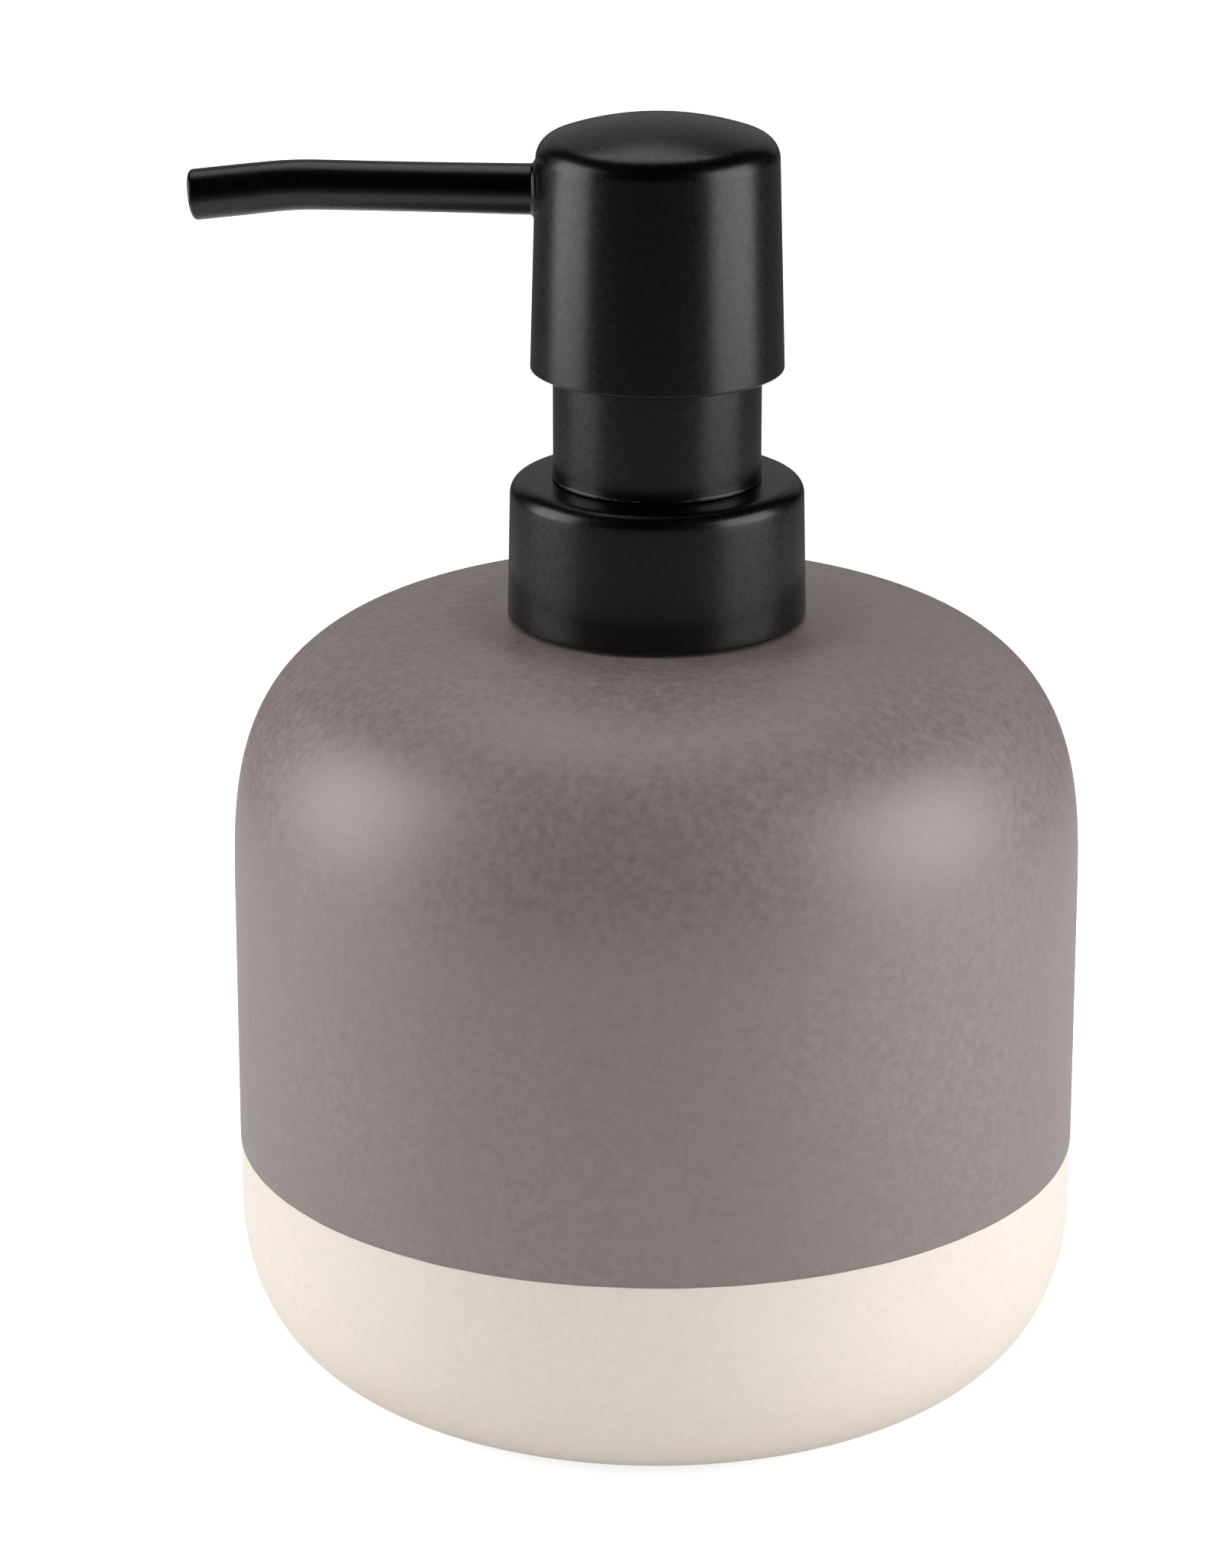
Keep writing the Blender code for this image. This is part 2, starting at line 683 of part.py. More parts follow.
def paint(pieces):
    black = (0.012, 0.012, 0.012)
    white = (0.82, 0.82, 0.80)
    steel = (0.62, 0.62, 0.60)
    looks = {
        "bottle": ((0.20, 0.165, 0.155), 0.55, 0.0),
        "neck_insert": (white, 0.45, 0.0),
        "neck_gasket": ((0.75, 0.74, 0.70), 0.7, 0.0),
        "closure_ring": (white, 0.45, 0.0),
        "pump_housing": (white, 0.45, 0.0),
        "chaplet": (white, 0.45, 0.0),
        "piston": ((0.70, 0.72, 0.74), 0.5, 0.0),
        "stem_plug": (white, 0.45, 0.0),
        "stem": (white, 0.45, 0.0),
        "spring_seat": (white, 0.45, 0.0),
        "outlet_cage": (white, 0.45, 0.0),
        "dip_tube": ((0.78, 0.80, 0.80), 0.3, 0.0),
        "head_core": (white, 0.45, 0.0),
        "return_spring": (steel, 0.3, 1.0),
        "inlet_ball": (steel, 0.2, 1.0),
        "outlet_ball": (steel, 0.2, 1.0),
    }
    for obj in pieces:
        colour, roughness, metallic = looks.get(obj.name, (black, 0.42, 0.0))
        obj.data.materials.clear()
        obj.data.materials.append(material(obj.name, colour, roughness, metallic))


def main():
    clear_scene()
    group = new_collection("soap_pump_dispenser")
    cutters = new_collection("cutters")
    make_bottle(group)
    make_neck_insert(group, cutters)
    make_neck_gasket(group)
    make_closure_ring(group, cutters)
    make_collar_shell(group)
    make_sleeve(group)
    make_pump_housing(group)
    make_chaplet(group)
    make_stem(group)
    make_piston(group)
    make_stem_plug(group)
    make_spring_seat(group)
    make_return_spring(group)
    make_ball("inlet_ball", inlet_ball_z, group)
    make_ball("outlet_ball", outlet_ball_z, group)
    make_outlet_cage(group)
    make_dip_tube(group, cutters)
    make_head_core(group, cutters)
    make_head_shell(group, cutters)
    make_spout(group, cutters)
    paint(group.objects)


main()
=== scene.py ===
import math

import bpy
import numpy as np
from mathutils import Matrix, Vector


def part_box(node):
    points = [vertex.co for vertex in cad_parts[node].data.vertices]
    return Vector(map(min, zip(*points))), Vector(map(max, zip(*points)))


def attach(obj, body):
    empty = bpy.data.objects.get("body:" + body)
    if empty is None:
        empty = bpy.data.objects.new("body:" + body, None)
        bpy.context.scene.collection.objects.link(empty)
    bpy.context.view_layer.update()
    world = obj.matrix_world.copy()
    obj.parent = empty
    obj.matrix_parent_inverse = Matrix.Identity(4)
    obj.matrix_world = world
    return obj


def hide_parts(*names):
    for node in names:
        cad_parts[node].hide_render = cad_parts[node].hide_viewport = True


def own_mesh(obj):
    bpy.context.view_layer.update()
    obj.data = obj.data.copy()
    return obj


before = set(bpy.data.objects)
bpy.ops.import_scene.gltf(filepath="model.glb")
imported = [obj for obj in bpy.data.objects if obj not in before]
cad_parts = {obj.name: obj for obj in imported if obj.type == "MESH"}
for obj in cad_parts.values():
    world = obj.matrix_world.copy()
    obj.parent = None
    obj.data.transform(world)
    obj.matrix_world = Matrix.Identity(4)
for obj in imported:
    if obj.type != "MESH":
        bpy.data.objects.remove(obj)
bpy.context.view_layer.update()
mm = 0.001

# corner roundings that the turned and moulded parts share
corner = {
    "tight": 0.05 * mm,
    "crisp": 0.1 * mm,
    "fine": 0.15 * mm,
    "small": 0.2 * mm,
    "soft": 0.3 * mm,
    "eased": 0.4 * mm,
    "round": 0.5 * mm,
    "full": 0.8 * mm,
}

# how a rounded corner is drawn
arcRules = {
    "straightDeg": 88.0,  # half a corner's angle past which the corner counts as straight
    "sideShare": 0.45,  # the most of either side that an arc takes up
    "guardShare": 0.4,  # distance of the guard point past the arc, against the rounding,
    "guardLeast": 0.05 * mm,  # and on top of it
    "guardRoom": 0.3,  # the most of the side's remaining length that it takes
}

sharpDeg = 50  # edges of a cut piece that turn by more than this stay crisp


def evenRun(points, step):
    # the same line with points at equal distances: distance is the sum of the lengths up to there
    points = np.asarray(points, float)
    along = np.concatenate([[0.0], np.cumsum(np.linalg.norm(np.diff(points, axis=0), axis=1))])
    count = max(2, int(math.ceil(along[-1] / step)) + 1)
    at = np.linspace(0.0, along[-1], count)
    return np.stack([np.interp(at, along, points[:, 0]), np.interp(at, along, points[:, 1])], 1)


def roundedOutline(corners, closed, arcSteps=6):
    # each corner is (radius, height, rounding): an arc tangent to both sides takes its place, and starts
    # rounding / tan(half the corner's angle) away from it. One guard point on each side of the arc keeps
    # the flat runs flat when shaded smooth
    rules = arcRules
    count = len(corners)
    pieces = []
    for i, (r, z, rounding) in enumerate(corners):
        here = np.array([r, z])
        if not closed and i in (0, count - 1):
            pieces.append(here[None])
            continue
        before = np.array(corners[i - 1][:2]) - here
        after = np.array(corners[(i + 1) % count][:2]) - here
        lengthBefore = np.linalg.norm(before)
        lengthAfter = np.linalg.norm(after)
        shorter = min(lengthBefore, lengthAfter)
        before = before / lengthBefore
        after = after / lengthAfter
        half = math.acos(max(-1.0, min(1.0, float(before @ after)))) / 2
        if rounding <= 0 or half > math.radians(rules["straightDeg"]):
            pieces.append(here[None])
            continue
        setback = rounding / math.tan(half)
        room = rules["sideShare"] * shorter
        if setback > room:
            setback = room
            rounding = room * math.tan(half)
        middle = before + after
        centre = here + middle / np.linalg.norm(middle) * rounding / math.sin(half)
        start = here + before * setback
        end = here + after * setback
        a = start - centre
        b = end - centre
        turn = math.pi - 2 * half
        t = np.linspace(0.0, 1.0, arcSteps + 1)[:, None]
        arc = centre + (np.sin((1 - t) * turn) * a + np.sin(t * turn) * b) / math.sin(turn)
        spare = rules["guardRoom"] * (shorter - setback)
        guard = min(rules["guardShare"] * rounding + rules["guardLeast"], spare)
        pieces.append(np.vstack([start + before * guard, arc, end + after * guard]))
    return np.vstack(pieces)


def gridFaces(rows, cols, wrapRows):
    # quads between neighbouring rows, where the point (row, column) has the number row x cols + column,
    # turned so that a line running down the outside faces outwards
    top = np.arange(rows if wrapRows else rows - 1)[:, None]
    side = np.arange(cols)[None, :]
    below = (top + 1) % rows
    across = (side + 1) % cols
    quad = (top * cols + side, below * cols + side, below * cols + across, top * cols + across)
    return np.stack(np.broadcast_arrays(*quad), -1).reshape(-1, 4)


def meshFromGrid(name, grid, wrapRows, firstPole, lastPole):
    # rows of rings made one mesh; a pole closes its end with a fan of triangles around one point
    rows, cols = grid.shape[:2]
    points = grid.reshape(-1, 3)
    faces = gridFaces(rows, cols, wrapRows).tolist()
    around = np.arange(cols)
    nextAround = (around + 1) % cols
    poles = []
    if firstPole is not None:
        tip = len(points) + len(poles)
        poles.append(firstPole)
        faces += np.stack([np.full(cols, tip), around, nextAround], 1).tolist()
    if lastPole is not None:
        tip = len(points) + len(poles)
        poles.append(lastPole)
        base = (rows - 1) * cols
        faces += np.stack([np.full(cols, tip), base + nextAround, base + around], 1).tolist()
    if poles:
        points = np.vstack([points, np.array(poles, float)])
    mesh = bpy.data.meshes.new(name)
    mesh.from_pydata(points.tolist(), [], faces)
    mesh.shade_smooth()
    mesh.update()
    piece = bpy.data.objects.new(name, mesh)
    bpy.context.scene.collection.objects.link(piece)
    return piece


def turnsAround(count):
    # that many equal angles, once round the axis
    return np.linspace(0.0, 2 * math.pi, count, endpoint=False)[None, :]


def ringGrid(outline, around):
    # radius and height of an outline repeated at each angle round the axis
    shape = (len(outline), around)
    return np.broadcast_to(outline[:, :1], shape).copy(), np.broadcast_to(outline[:, 1:], shape).copy()


def turnedGrid(r, z, angle):
    # x = r cos(angle), y = r sin(angle), z = height
    return np.stack([r * np.cos(angle), r * np.sin(angle), z], -1)


def turnedPiece(name, outline, around, closed=True):
    # outline turned about Z; an open one runs from one point on the axis to another
    outline = np.asarray(outline, float)
    firstPole = lastPole = None
    if not closed:
        firstPole = (0.0, 0.0, outline[0, 1])
        lastPole = (0.0, 0.0, outline[-1, 1])
        outline = outline[1:-1]
    r, z = ringGrid(outline, around)
    return meshFromGrid(name, turnedGrid(r, z, turnsAround(around)), closed, firstPole, lastPole)


def finishPiece(piece, body, slot, nodes, *finishes):
    # finishes, then the body that it rides on, its material slot, which is not used, and the nodes that it
    # stands in for
    for finish in finishes:
        piece.data.materials.append(finish)
    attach(piece, body)
    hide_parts(*nodes)
    return piece


def cutWith(piece, tool):
    # piece minus the tool's shape; the tool is removed
    cut = piece.modifiers.new("cut", "BOOLEAN")
    cut.operation = "DIFFERENCE"
    cut.solver = "EXACT"
    cut.object = tool
    shaped = bpy.data.meshes.new_from_object(piece.evaluated_get(bpy.context.evaluated_depsgraph_get()))
    shaped.name = piece.name
    piece.modifiers.clear()
    piece.data = shaped
    shaped.shade_smooth()
    shaped.set_sharp_from_angle(angle=math.radians(sharpDeg))
    bpy.data.objects.remove(tool, do_unlink=True)


def addNode(tree, kind, sockets=None, **settings):
    # a shader node with its settings; each socket is linked to another one or set to a constant
    made = tree.nodes.new(kind)
    for name, value in settings.items():
        setattr(made, name, value)
    for name, value in (sockets or {}).items():
        if isinstance(value, bpy.types.NodeSocket):
            tree.links.new(value, made.inputs[name])
        else:
            made.inputs[name].default_value = value
    return made


def newFinish(name, roughness, metallic=0.0, ior=1.5):
    # a plain finish, and the place on the piece that its patterns are worked out from
    finish = bpy.data.materials.new(name)
    finish.use_nodes = True
    tree = finish.node_tree
    shader = tree.nodes["Principled BSDF"]
    shader.inputs["Roughness"].default_value = roughness
    shader.inputs["Metallic"].default_value = metallic
    shader.inputs["IOR"].default_value = ior
    place = addNode(tree, "ShaderNodeTexCoord").outputs["Object"]
    return finish, tree, shader, place


def grain(tree, place, look):
    # noise: scale sets its cells to the metre, detail its finer layers and rough the strength of each
    sockets = {"Vector": place, "Scale": look["scale"], "Detail": look["detail"], "Roughness": look["rough"]}
    return addNode(tree, "ShaderNodeTexNoise", sockets).outputs["Fac"]


def remap(tree, value, low, high, toLow, toHigh):
    # a straight line from (low, toLow) to (high, toHigh), held at its ends
    sockets = {"Value": value, "From Min": low, "From Max": high, "To Min": toLow, "To Max": toHigh}
    return addNode(tree, "ShaderNodeMapRange", sockets).outputs["Result"]


def blendColour(tree, factor, first, second):
    # first x (1 - factor) + second x factor
    made = addNode(tree, "ShaderNodeMix", data_type="RGBA")
    tree.links.new(factor, made.inputs["Factor"])
    for socket, value in ((made.inputs[6], first), (made.inputs[7], second)):
        if isinstance(value, bpy.types.NodeSocket):
            tree.links.new(value, socket)
        else:
            socket.default_value = (*value, 1.0)
    return made.outputs[2]


def multiply(tree, first, second):
    # first x second, each a socket or a number
    made = addNode(tree, "ShaderNodeMath", operation="MULTIPLY")
    for socket, value in zip(made.inputs, (first, second)):
        if isinstance(value, bpy.types.NodeSocket):
            tree.links.new(value, socket)
        else:
            socket.default_value = value
    return made.outputs[0]


def bumpFrom(tree, shader, layers):
    # layers of (height, depth in metres) pressed one after another into the surface
    normal = None
    for height, depth in layers:
        sockets = {"Height": height, "Distance": depth, "Strength": 1.0}
        if normal is not None:
            sockets["Normal"] = normal
        normal = addNode(tree, "ShaderNodeBump", sockets).outputs["Normal"]
    tree.links.new(normal, shader.inputs["Normal"])


def speckMask(tree, place, look):
    # 1 inside small round specks: share of the cells hold one, and size is its radius against a cell
    solidCore = 0.6  # share of that radius at full strength
    pickStep = 0.01
    spots = addNode(tree, "ShaderNodeTexVoronoi", {"Vector": place, "Scale": look["cells"]})
    inside = remap(tree, spots.outputs["Distance"], look["size"] * solidCore, look["size"], 1.0, 0.0)
    picked = addNode(tree, "ShaderNodeSeparateColor", {"Color": spots.outputs["Color"]}).outputs["Red"]
    limit = 1 - look["share"]
    return multiply(tree, inside, remap(tree, picked, limit, limit + pickStep, 0.0, 1.0))


def tint(colour, factor):
    # each channel x factor, at most 1
    return tuple(min(1.0, c * factor) for c in colour)


grainSpan = (0.3, 0.7)  # nearly all of a noise lies between these


def grainColour(tree, shader, pattern, first, second):
    # from first to second as the noise rises
    colour = blendColour(tree, remap(tree, pattern, *grainSpan, 0.0, 1.0), first, second)
    tree.links.new(colour, shader.inputs["Base Color"])


def grainRough(tree, shader, pattern, smoothest, roughest):
    # roughness from smoothest to roughest as the noise rises
    tree.links.new(remap(tree, pattern, *grainSpan, smoothest, roughest), shader.inputs["Roughness"])


def roughAround(tree, shader, pattern, look):
    # roughness of the look, less smoother where the noise is low and plus rougher where it is high
    middle = look["roughness"]
    grainRough(tree, shader, pattern, middle - look["smoother"], middle + look["rougher"])


taupeLook = {
    "colour": (0.204, 0.164, 0.157),
    "roughness": 0.46,
    "smoother": 0.05,
    "rougher": 0.07,
    "ior": 1.90,
    "edgeColour": (0.10, 0.078, 0.070),
    "edgeShare": 0.55,
    "broad": {"scale": 28.0, "detail": 2.0, "rough": 0.5, "share": 0.5, "tint": 0.90, "depth": 0.00016},
    "mottle": {"scale": 950.0, "detail": 4.0, "rough": 0.65, "low": 0.34, "high": 0.66, "dark": 0.83,
               "light": 1.17, "depth": 0.000027},
    "fine": {"scale": 3200.0, "detail": 2.0, "rough": 0.6, "depth": 0.000008},
    "specks": {"cells": 62.0, "size": 0.016, "share": 0.12, "colour": (0.06, 0.045, 0.04)},
}


def taupeGlaze():
    # satin glaze: a fine mottle under broad darker clouds, a few specks, and a dark thin edge
    look = taupeLook
    finish, tree, shader, place = newFinish("taupeGlaze", look["roughness"], ior=look["ior"])
    broad = grain(tree, place, look["broad"])
    mottle = grain(tree, place, look["mottle"])
    fine = grain(tree, place, look["fine"])
    base = look["colour"]
    mixed = remap(tree, mottle, look["mottle"]["low"], look["mottle"]["high"], 0.0, 1.0)
    colour = blendColour(tree, mixed, tint(base, look["mottle"]["dark"]), tint(base, look["mottle"]["light"]))
    clouds = remap(tree, broad, *grainSpan, 0.0, look["broad"]["share"])
    colour = blendColour(tree, clouds, colour, tint(base, look["broad"]["tint"]))
    colour = blendColour(tree, speckMask(tree, place, look["specks"]), colour, look["specks"]["colour"])
    edge = addNode(tree, "ShaderNodeAttribute", attribute_name="glazeEdge").outputs["Fac"]
    colour = blendColour(tree, multiply(tree, edge, look["edgeShare"]), colour, look["edgeColour"])
    tree.links.new(colour, shader.inputs["Base Color"])
    roughAround(tree, shader, mottle, look)
    layers = zip((broad, mottle, fine), (look[layer]["depth"] for layer in ("broad", "mottle", "fine")))
    bumpFrom(tree, shader, layers)
    return finish


creamLook = {
    "colour": (0.805, 0.730, 0.655),
    "roughness": 0.62,
    "smoother": 0.05,
    "rougher": 0.07,
    "broad": {"scale": 30.0, "detail": 2.0, "rough": 0.5, "share": 0.4, "tint": 0.96, "depth": 0.00012},
    "sand": {"scale": 900.0, "detail": 4.0, "rough": 0.65, "dark": 0.95, "light": 1.04, "depth": 0.000022},
    "specks": {"cells": 70.0, "size": 0.018, "share": 0.10, "colour": (0.25, 0.19, 0.15), "strength": 0.7},
}


def creamBody():
    # bare fired body: fine sand under faint broad clouds, and a few pale brown specks
    look = creamLook
    finish, tree, shader, place = newFinish("creamBody", look["roughness"])
    broad = grain(tree, place, look["broad"])
    sand = grain(tree, place, look["sand"])
    base = look["colour"]
    mixed = remap(tree, sand, *grainSpan, 0.0, 1.0)
    colour = blendColour(tree, mixed, tint(base, look["sand"]["dark"]), tint(base, look["sand"]["light"]))
    clouds = remap(tree, broad, *grainSpan, 0.0, look["broad"]["share"])
    colour = blendColour(tree, clouds, colour, tint(base, look["broad"]["tint"]))
    specks = multiply(tree, speckMask(tree, place, look["specks"]), look["specks"]["strength"])
    colour = blendColour(tree, specks, colour, look["specks"]["colour"])
    tree.links.new(colour, shader.inputs["Base Color"])
    roughAround(tree, shader, sand, look)
    bumpFrom(tree, shader, [(broad, look["broad"]["depth"]), (sand, look["sand"]["depth"])])
    return finish


blackLook = {
    "colour": (0.0003, 0.0003, 0.0003),
    "worn": (0.0010, 0.0010, 0.0009),
    "roughness": 0.28,
    "smoother": 0.03,
    "rougher": 0.04,
    "cloud": {"scale": 60.0, "detail": 3.0, "rough": 0.5, "low": 0.35, "high": 0.7},
    "peel": {"scale": 1500.0, "detail": 2.0, "rough": 0.5, "depth": 0.000007},
    "dust": {"cells": 120.0, "size": 0.016, "share": 0.03, "colour": (0.05, 0.048, 0.045), "strength": 0.4},
}


def blackCoat():
    # satin black paint: faintly worn in clouds, with a fine orange peel and a little dust
    look = blackLook
    finish, tree, shader, place = newFinish("blackCoat", look["roughness"])
    cloud = grain(tree, place, look["cloud"])
    peel = grain(tree, place, look["peel"])
    worn = remap(tree, cloud, look["cloud"]["low"], look["cloud"]["high"], 0.0, 1.0)
    colour = blendColour(tree, worn, look["colour"], look["worn"])
    dust = multiply(tree, speckMask(tree, place, look["dust"]), look["dust"]["strength"])
    colour = blendColour(tree, dust, colour, look["dust"]["colour"])
    tree.links.new(colour, shader.inputs["Base Color"])
    roughAround(tree, shader, peel, look)
    bumpFrom(tree, shader, [(peel, look["peel"]["depth"])])
    return finish


mouldedLook = {
    "dark": 0.96,
    "light": 1.02,
    "smoother": 0.04,
    "rougher": 0.05,
    "cloud": {"scale": 90.0, "detail": 2.0, "rough": 0.5},
    "peel": {"scale": 2200.0, "detail": 2.0, "rough": 0.5, "depth": 0.000008},
}


def mouldedPlastic(name, colour, roughness, clear=0.0):
    # plain plastic: its colour clouds a little, its roughness follows a fine peel, clear is see-through
    look = mouldedLook
    finish, tree, shader, place = newFinish(name, roughness)
    cloud = grain(tree, place, look["cloud"])
    peel = grain(tree, place, look["peel"])
    grainColour(tree, shader, cloud, tint(colour, look["dark"]), tint(colour, look["light"]))
    grainRough(tree, shader, peel, roughness - look["smoother"], roughness + look["rougher"])
    shader.inputs["Transmission Weight"].default_value = clear
    bumpFrom(tree, shader, [(peel, look["peel"]["depth"])])
    return finish


steelLook = {
    "dark": (0.50, 0.50, 0.49),
    "light": (0.66, 0.66, 0.64),
    "roughness": 0.26,
    "smoothest": 0.20,
    "roughest": 0.34,
    "streak": {"scale": 700.0, "detail": 3.0, "rough": 0.5, "depth": 0.000004},
}

foamLook = {
    "dark": (0.66, 0.65, 0.61),
    "light": (0.80, 0.79, 0.75),
    "roughness": 0.75,
    "smoothest": 0.68,
    "roughest": 0.85,
    "streak": {"scale": 3000.0, "detail": 3.0, "rough": 0.6, "depth": 0.00004},
}


def streakedFinish(name, look, metallic=0.0):
    # one noise that sets the colour, the roughness and the height together
    finish, tree, shader, place = newFinish(name, look["roughness"], metallic=metallic)
    streak = grain(tree, place, look["streak"])
    grainColour(tree, shader, streak, look["dark"], look["light"])
    grainRough(tree, shader, streak, look["smoothest"], look["roughest"])
    bumpFrom(tree, shader, [(streak, look["streak"]["depth"])])
    return finish


glaze = taupeGlaze()
cream = creamBody()
black = blackCoat()
whitePlastic = mouldedPlastic("whitePlastic", (0.80, 0.80, 0.78), 0.42)
sealPlastic = mouldedPlastic("sealPlastic", (0.66, 0.69, 0.72), 0.48)
tubePlastic = mouldedPlastic("tubePlastic", (0.80, 0.83, 0.83), 0.30, clear=0.15)
steel = streakedFinish("drawnSteel", steelLook, metallic=1.0)
foam = streakedFinish("softFoam", foamLook)
print("finishes made")


bottleShape = {
    "shoulderHeight": 34.7 * mm,
    "shoulderIn": 4.0,
    "shoulderUp": 3.2,
    "baseRadius": 21.4 * mm,
    "footHeight": 22.2 * mm,
    "footIn": 3.2,
    "footUp": 2.25,
    "wall": 5.0 * mm,
    "floor": 6.0 * mm,
    "roof": 6.0 * mm,
    "cavityBase": 20.0 * mm,
    "mouthRadius": 12.3 * mm,
    "mouthFlat": 14.9 * mm,
    "mouthRounding": 0.8 * mm,
    "seatDepth": 0.70 * mm,
    "seatInside": 15.1 * mm,
    "seatStep": 0.5 * mm,
    "seatFull": 18.0 * mm,
    "seatOutside": 25.0 * mm,
    "seatBand": 4.0 * mm,  # the seat is sunk only this near to the top
    "glazeLine": 29.35 * mm,
    "glazeThickness": 0.10 * mm,
    "glazeWave": 0.07 * mm,
    "waveBand": 1.0 * mm,
    "waveSeed": 4,
    "waveOrders": (3, 7, 13, 22, 35, 54),
    "edgeBand": 0.16 * mm,
    "edgeDip": 0.02 * mm,
    "thinFrom": 0.1,  # the bare body keeps its full size up to this share of the foot's height
    "thinOver": 4.0 * mm,  # and thins by the glaze's thickness over this height above it
    "row": 0.9 * mm,
    "hiddenRow": 2.2 * mm,
    "boreRow": 1.5 * mm,
    "baseRow": 3.0 * mm,
    "rimRows": 9,
    "lineRows": 1200,
    "poleGap": 0.2 * mm,  # the first ring around a point on the axis
    "baseGap": 0.6 * mm,
    # rows either side of the glaze line in mm, closest where the glaze ends
    "glazeRows": (2.0, 1.4, 0.9, 0.55, 0.32, 0.18, 0.10, 0.05, 0.0, -0.04, -0.09, -0.16, -0.3, -0.5, -0.9,
                  -1.4, -2.0),
    "around": 288,
}


def shoulderLine(wallRadius, topHeight, height, flatRadius):
    # superellipse: r = wall cos(t)^(2/in), z = top - h + h sin(t)^(2/up), from the mouth down to the wall
    t = np.linspace(math.pi / 2, 0.0, bottleShape["lineRows"])
    r = wallRadius * np.cos(t).clip(0.0) ** (2 / bottleShape["shoulderIn"])
    z = topHeight - height + height * np.sin(t).clip(0.0) ** (2 / bottleShape["shoulderUp"])
    keep = r > flatRadius
    return np.stack([r[keep], z[keep]], 1)


def footLine(flatRadius, wallRadius, bottomHeight, height):
    # superellipse: r = flat + (wall - flat) sin(t)^(2/in), z = bottom + h - h cos(t)^(2/up), wall to base
    t = np.linspace(math.pi / 2, 0.0, bottleShape["lineRows"])
    r = flatRadius + (wallRadius - flatRadius) * np.sin(t).clip(0.0) ** (2 / bottleShape["footIn"])
    z = bottomHeight + height * (1 - np.cos(t).clip(0.0) ** (2 / bottleShape["footUp"]))
    return np.stack([r, z], 1)


def waveAround(angle, seed, orders, amplitude):
    # sum of sin(order x angle + chance) x chance / sqrt(order), brought to the amplitude
    rng = np.random.default_rng(seed)
    total = np.zeros_like(angle)
    for order in orders:
        wave = np.sin(order * angle + rng.uniform(0, 2 * math.pi))
        total += wave * rng.uniform(0.4, 1.0) / math.sqrt(order)
    return total / np.abs(total).max() * amplitude


def bottleOutline(wallRadius, top):
    # inside, from the middle of the floor up the cavity, round the mouth and across its flat top, then
    # outside, down the shoulder, past the glaze line, round the foot and in to the middle of the base
    s = bottleShape
    mouth = s["mouthRounding"]
    bore = s["mouthRadius"]
    t = np.linspace(math.pi / 2, 0.0, s["rimRows"])
    rim = np.stack([bore + mouth - mouth * np.sin(t), top - mouth + mouth * np.cos(t)], 1)[::-1]
    lineHeights = s["glazeLine"] + np.array(s["glazeRows"]) * mm
    shoulder = shoulderLine(wallRadius, top, s["shoulderHeight"], s["mouthFlat"])
    foot = footLine(s["baseRadius"], wallRadius, 0.0, s["footHeight"])
    cavityTop = top - s["roof"]
    cavityRadius = wallRadius - s["wall"]
    innerShoulder = shoulderLine(cavityRadius, cavityTop, s["shoulderHeight"] - s["wall"], bore)
    innerFoot = footLine(s["cavityBase"], cavityRadius, s["floor"], s["footHeight"] - s["wall"])
    cavity = np.vstack([innerShoulder, innerFoot])[::-1]
    inside = [
        np.array([[0.0, s["floor"]]]),
        evenRun(np.vstack([[s["poleGap"], s["floor"]], cavity]), s["hiddenRow"]),
        evenRun([[bore, cavityTop + corner["soft"]], [bore, top - mouth - corner["small"]]], s["boreRow"]),
        rim,
        evenRun([[bore + mouth + corner["soft"], top], [s["mouthFlat"] - corner["small"], top]], s["row"]),
    ]
    outside = [
        evenRun(np.vstack([shoulder, [[wallRadius, lineHeights[0]]]]), s["row"])[:-1],
        np.stack([np.full(len(lineHeights), wallRadius), lineHeights], 1),
        evenRun(np.vstack([[[wallRadius, lineHeights[-1]]], foot]), s["row"])[1:],
        evenRun([[s["baseRadius"] - s["baseGap"], 0.0], [s["poleGap"], 0.0]], s["baseRow"]),
        np.array([[0.0, 0.0]]),
    ]
    return inside, outside


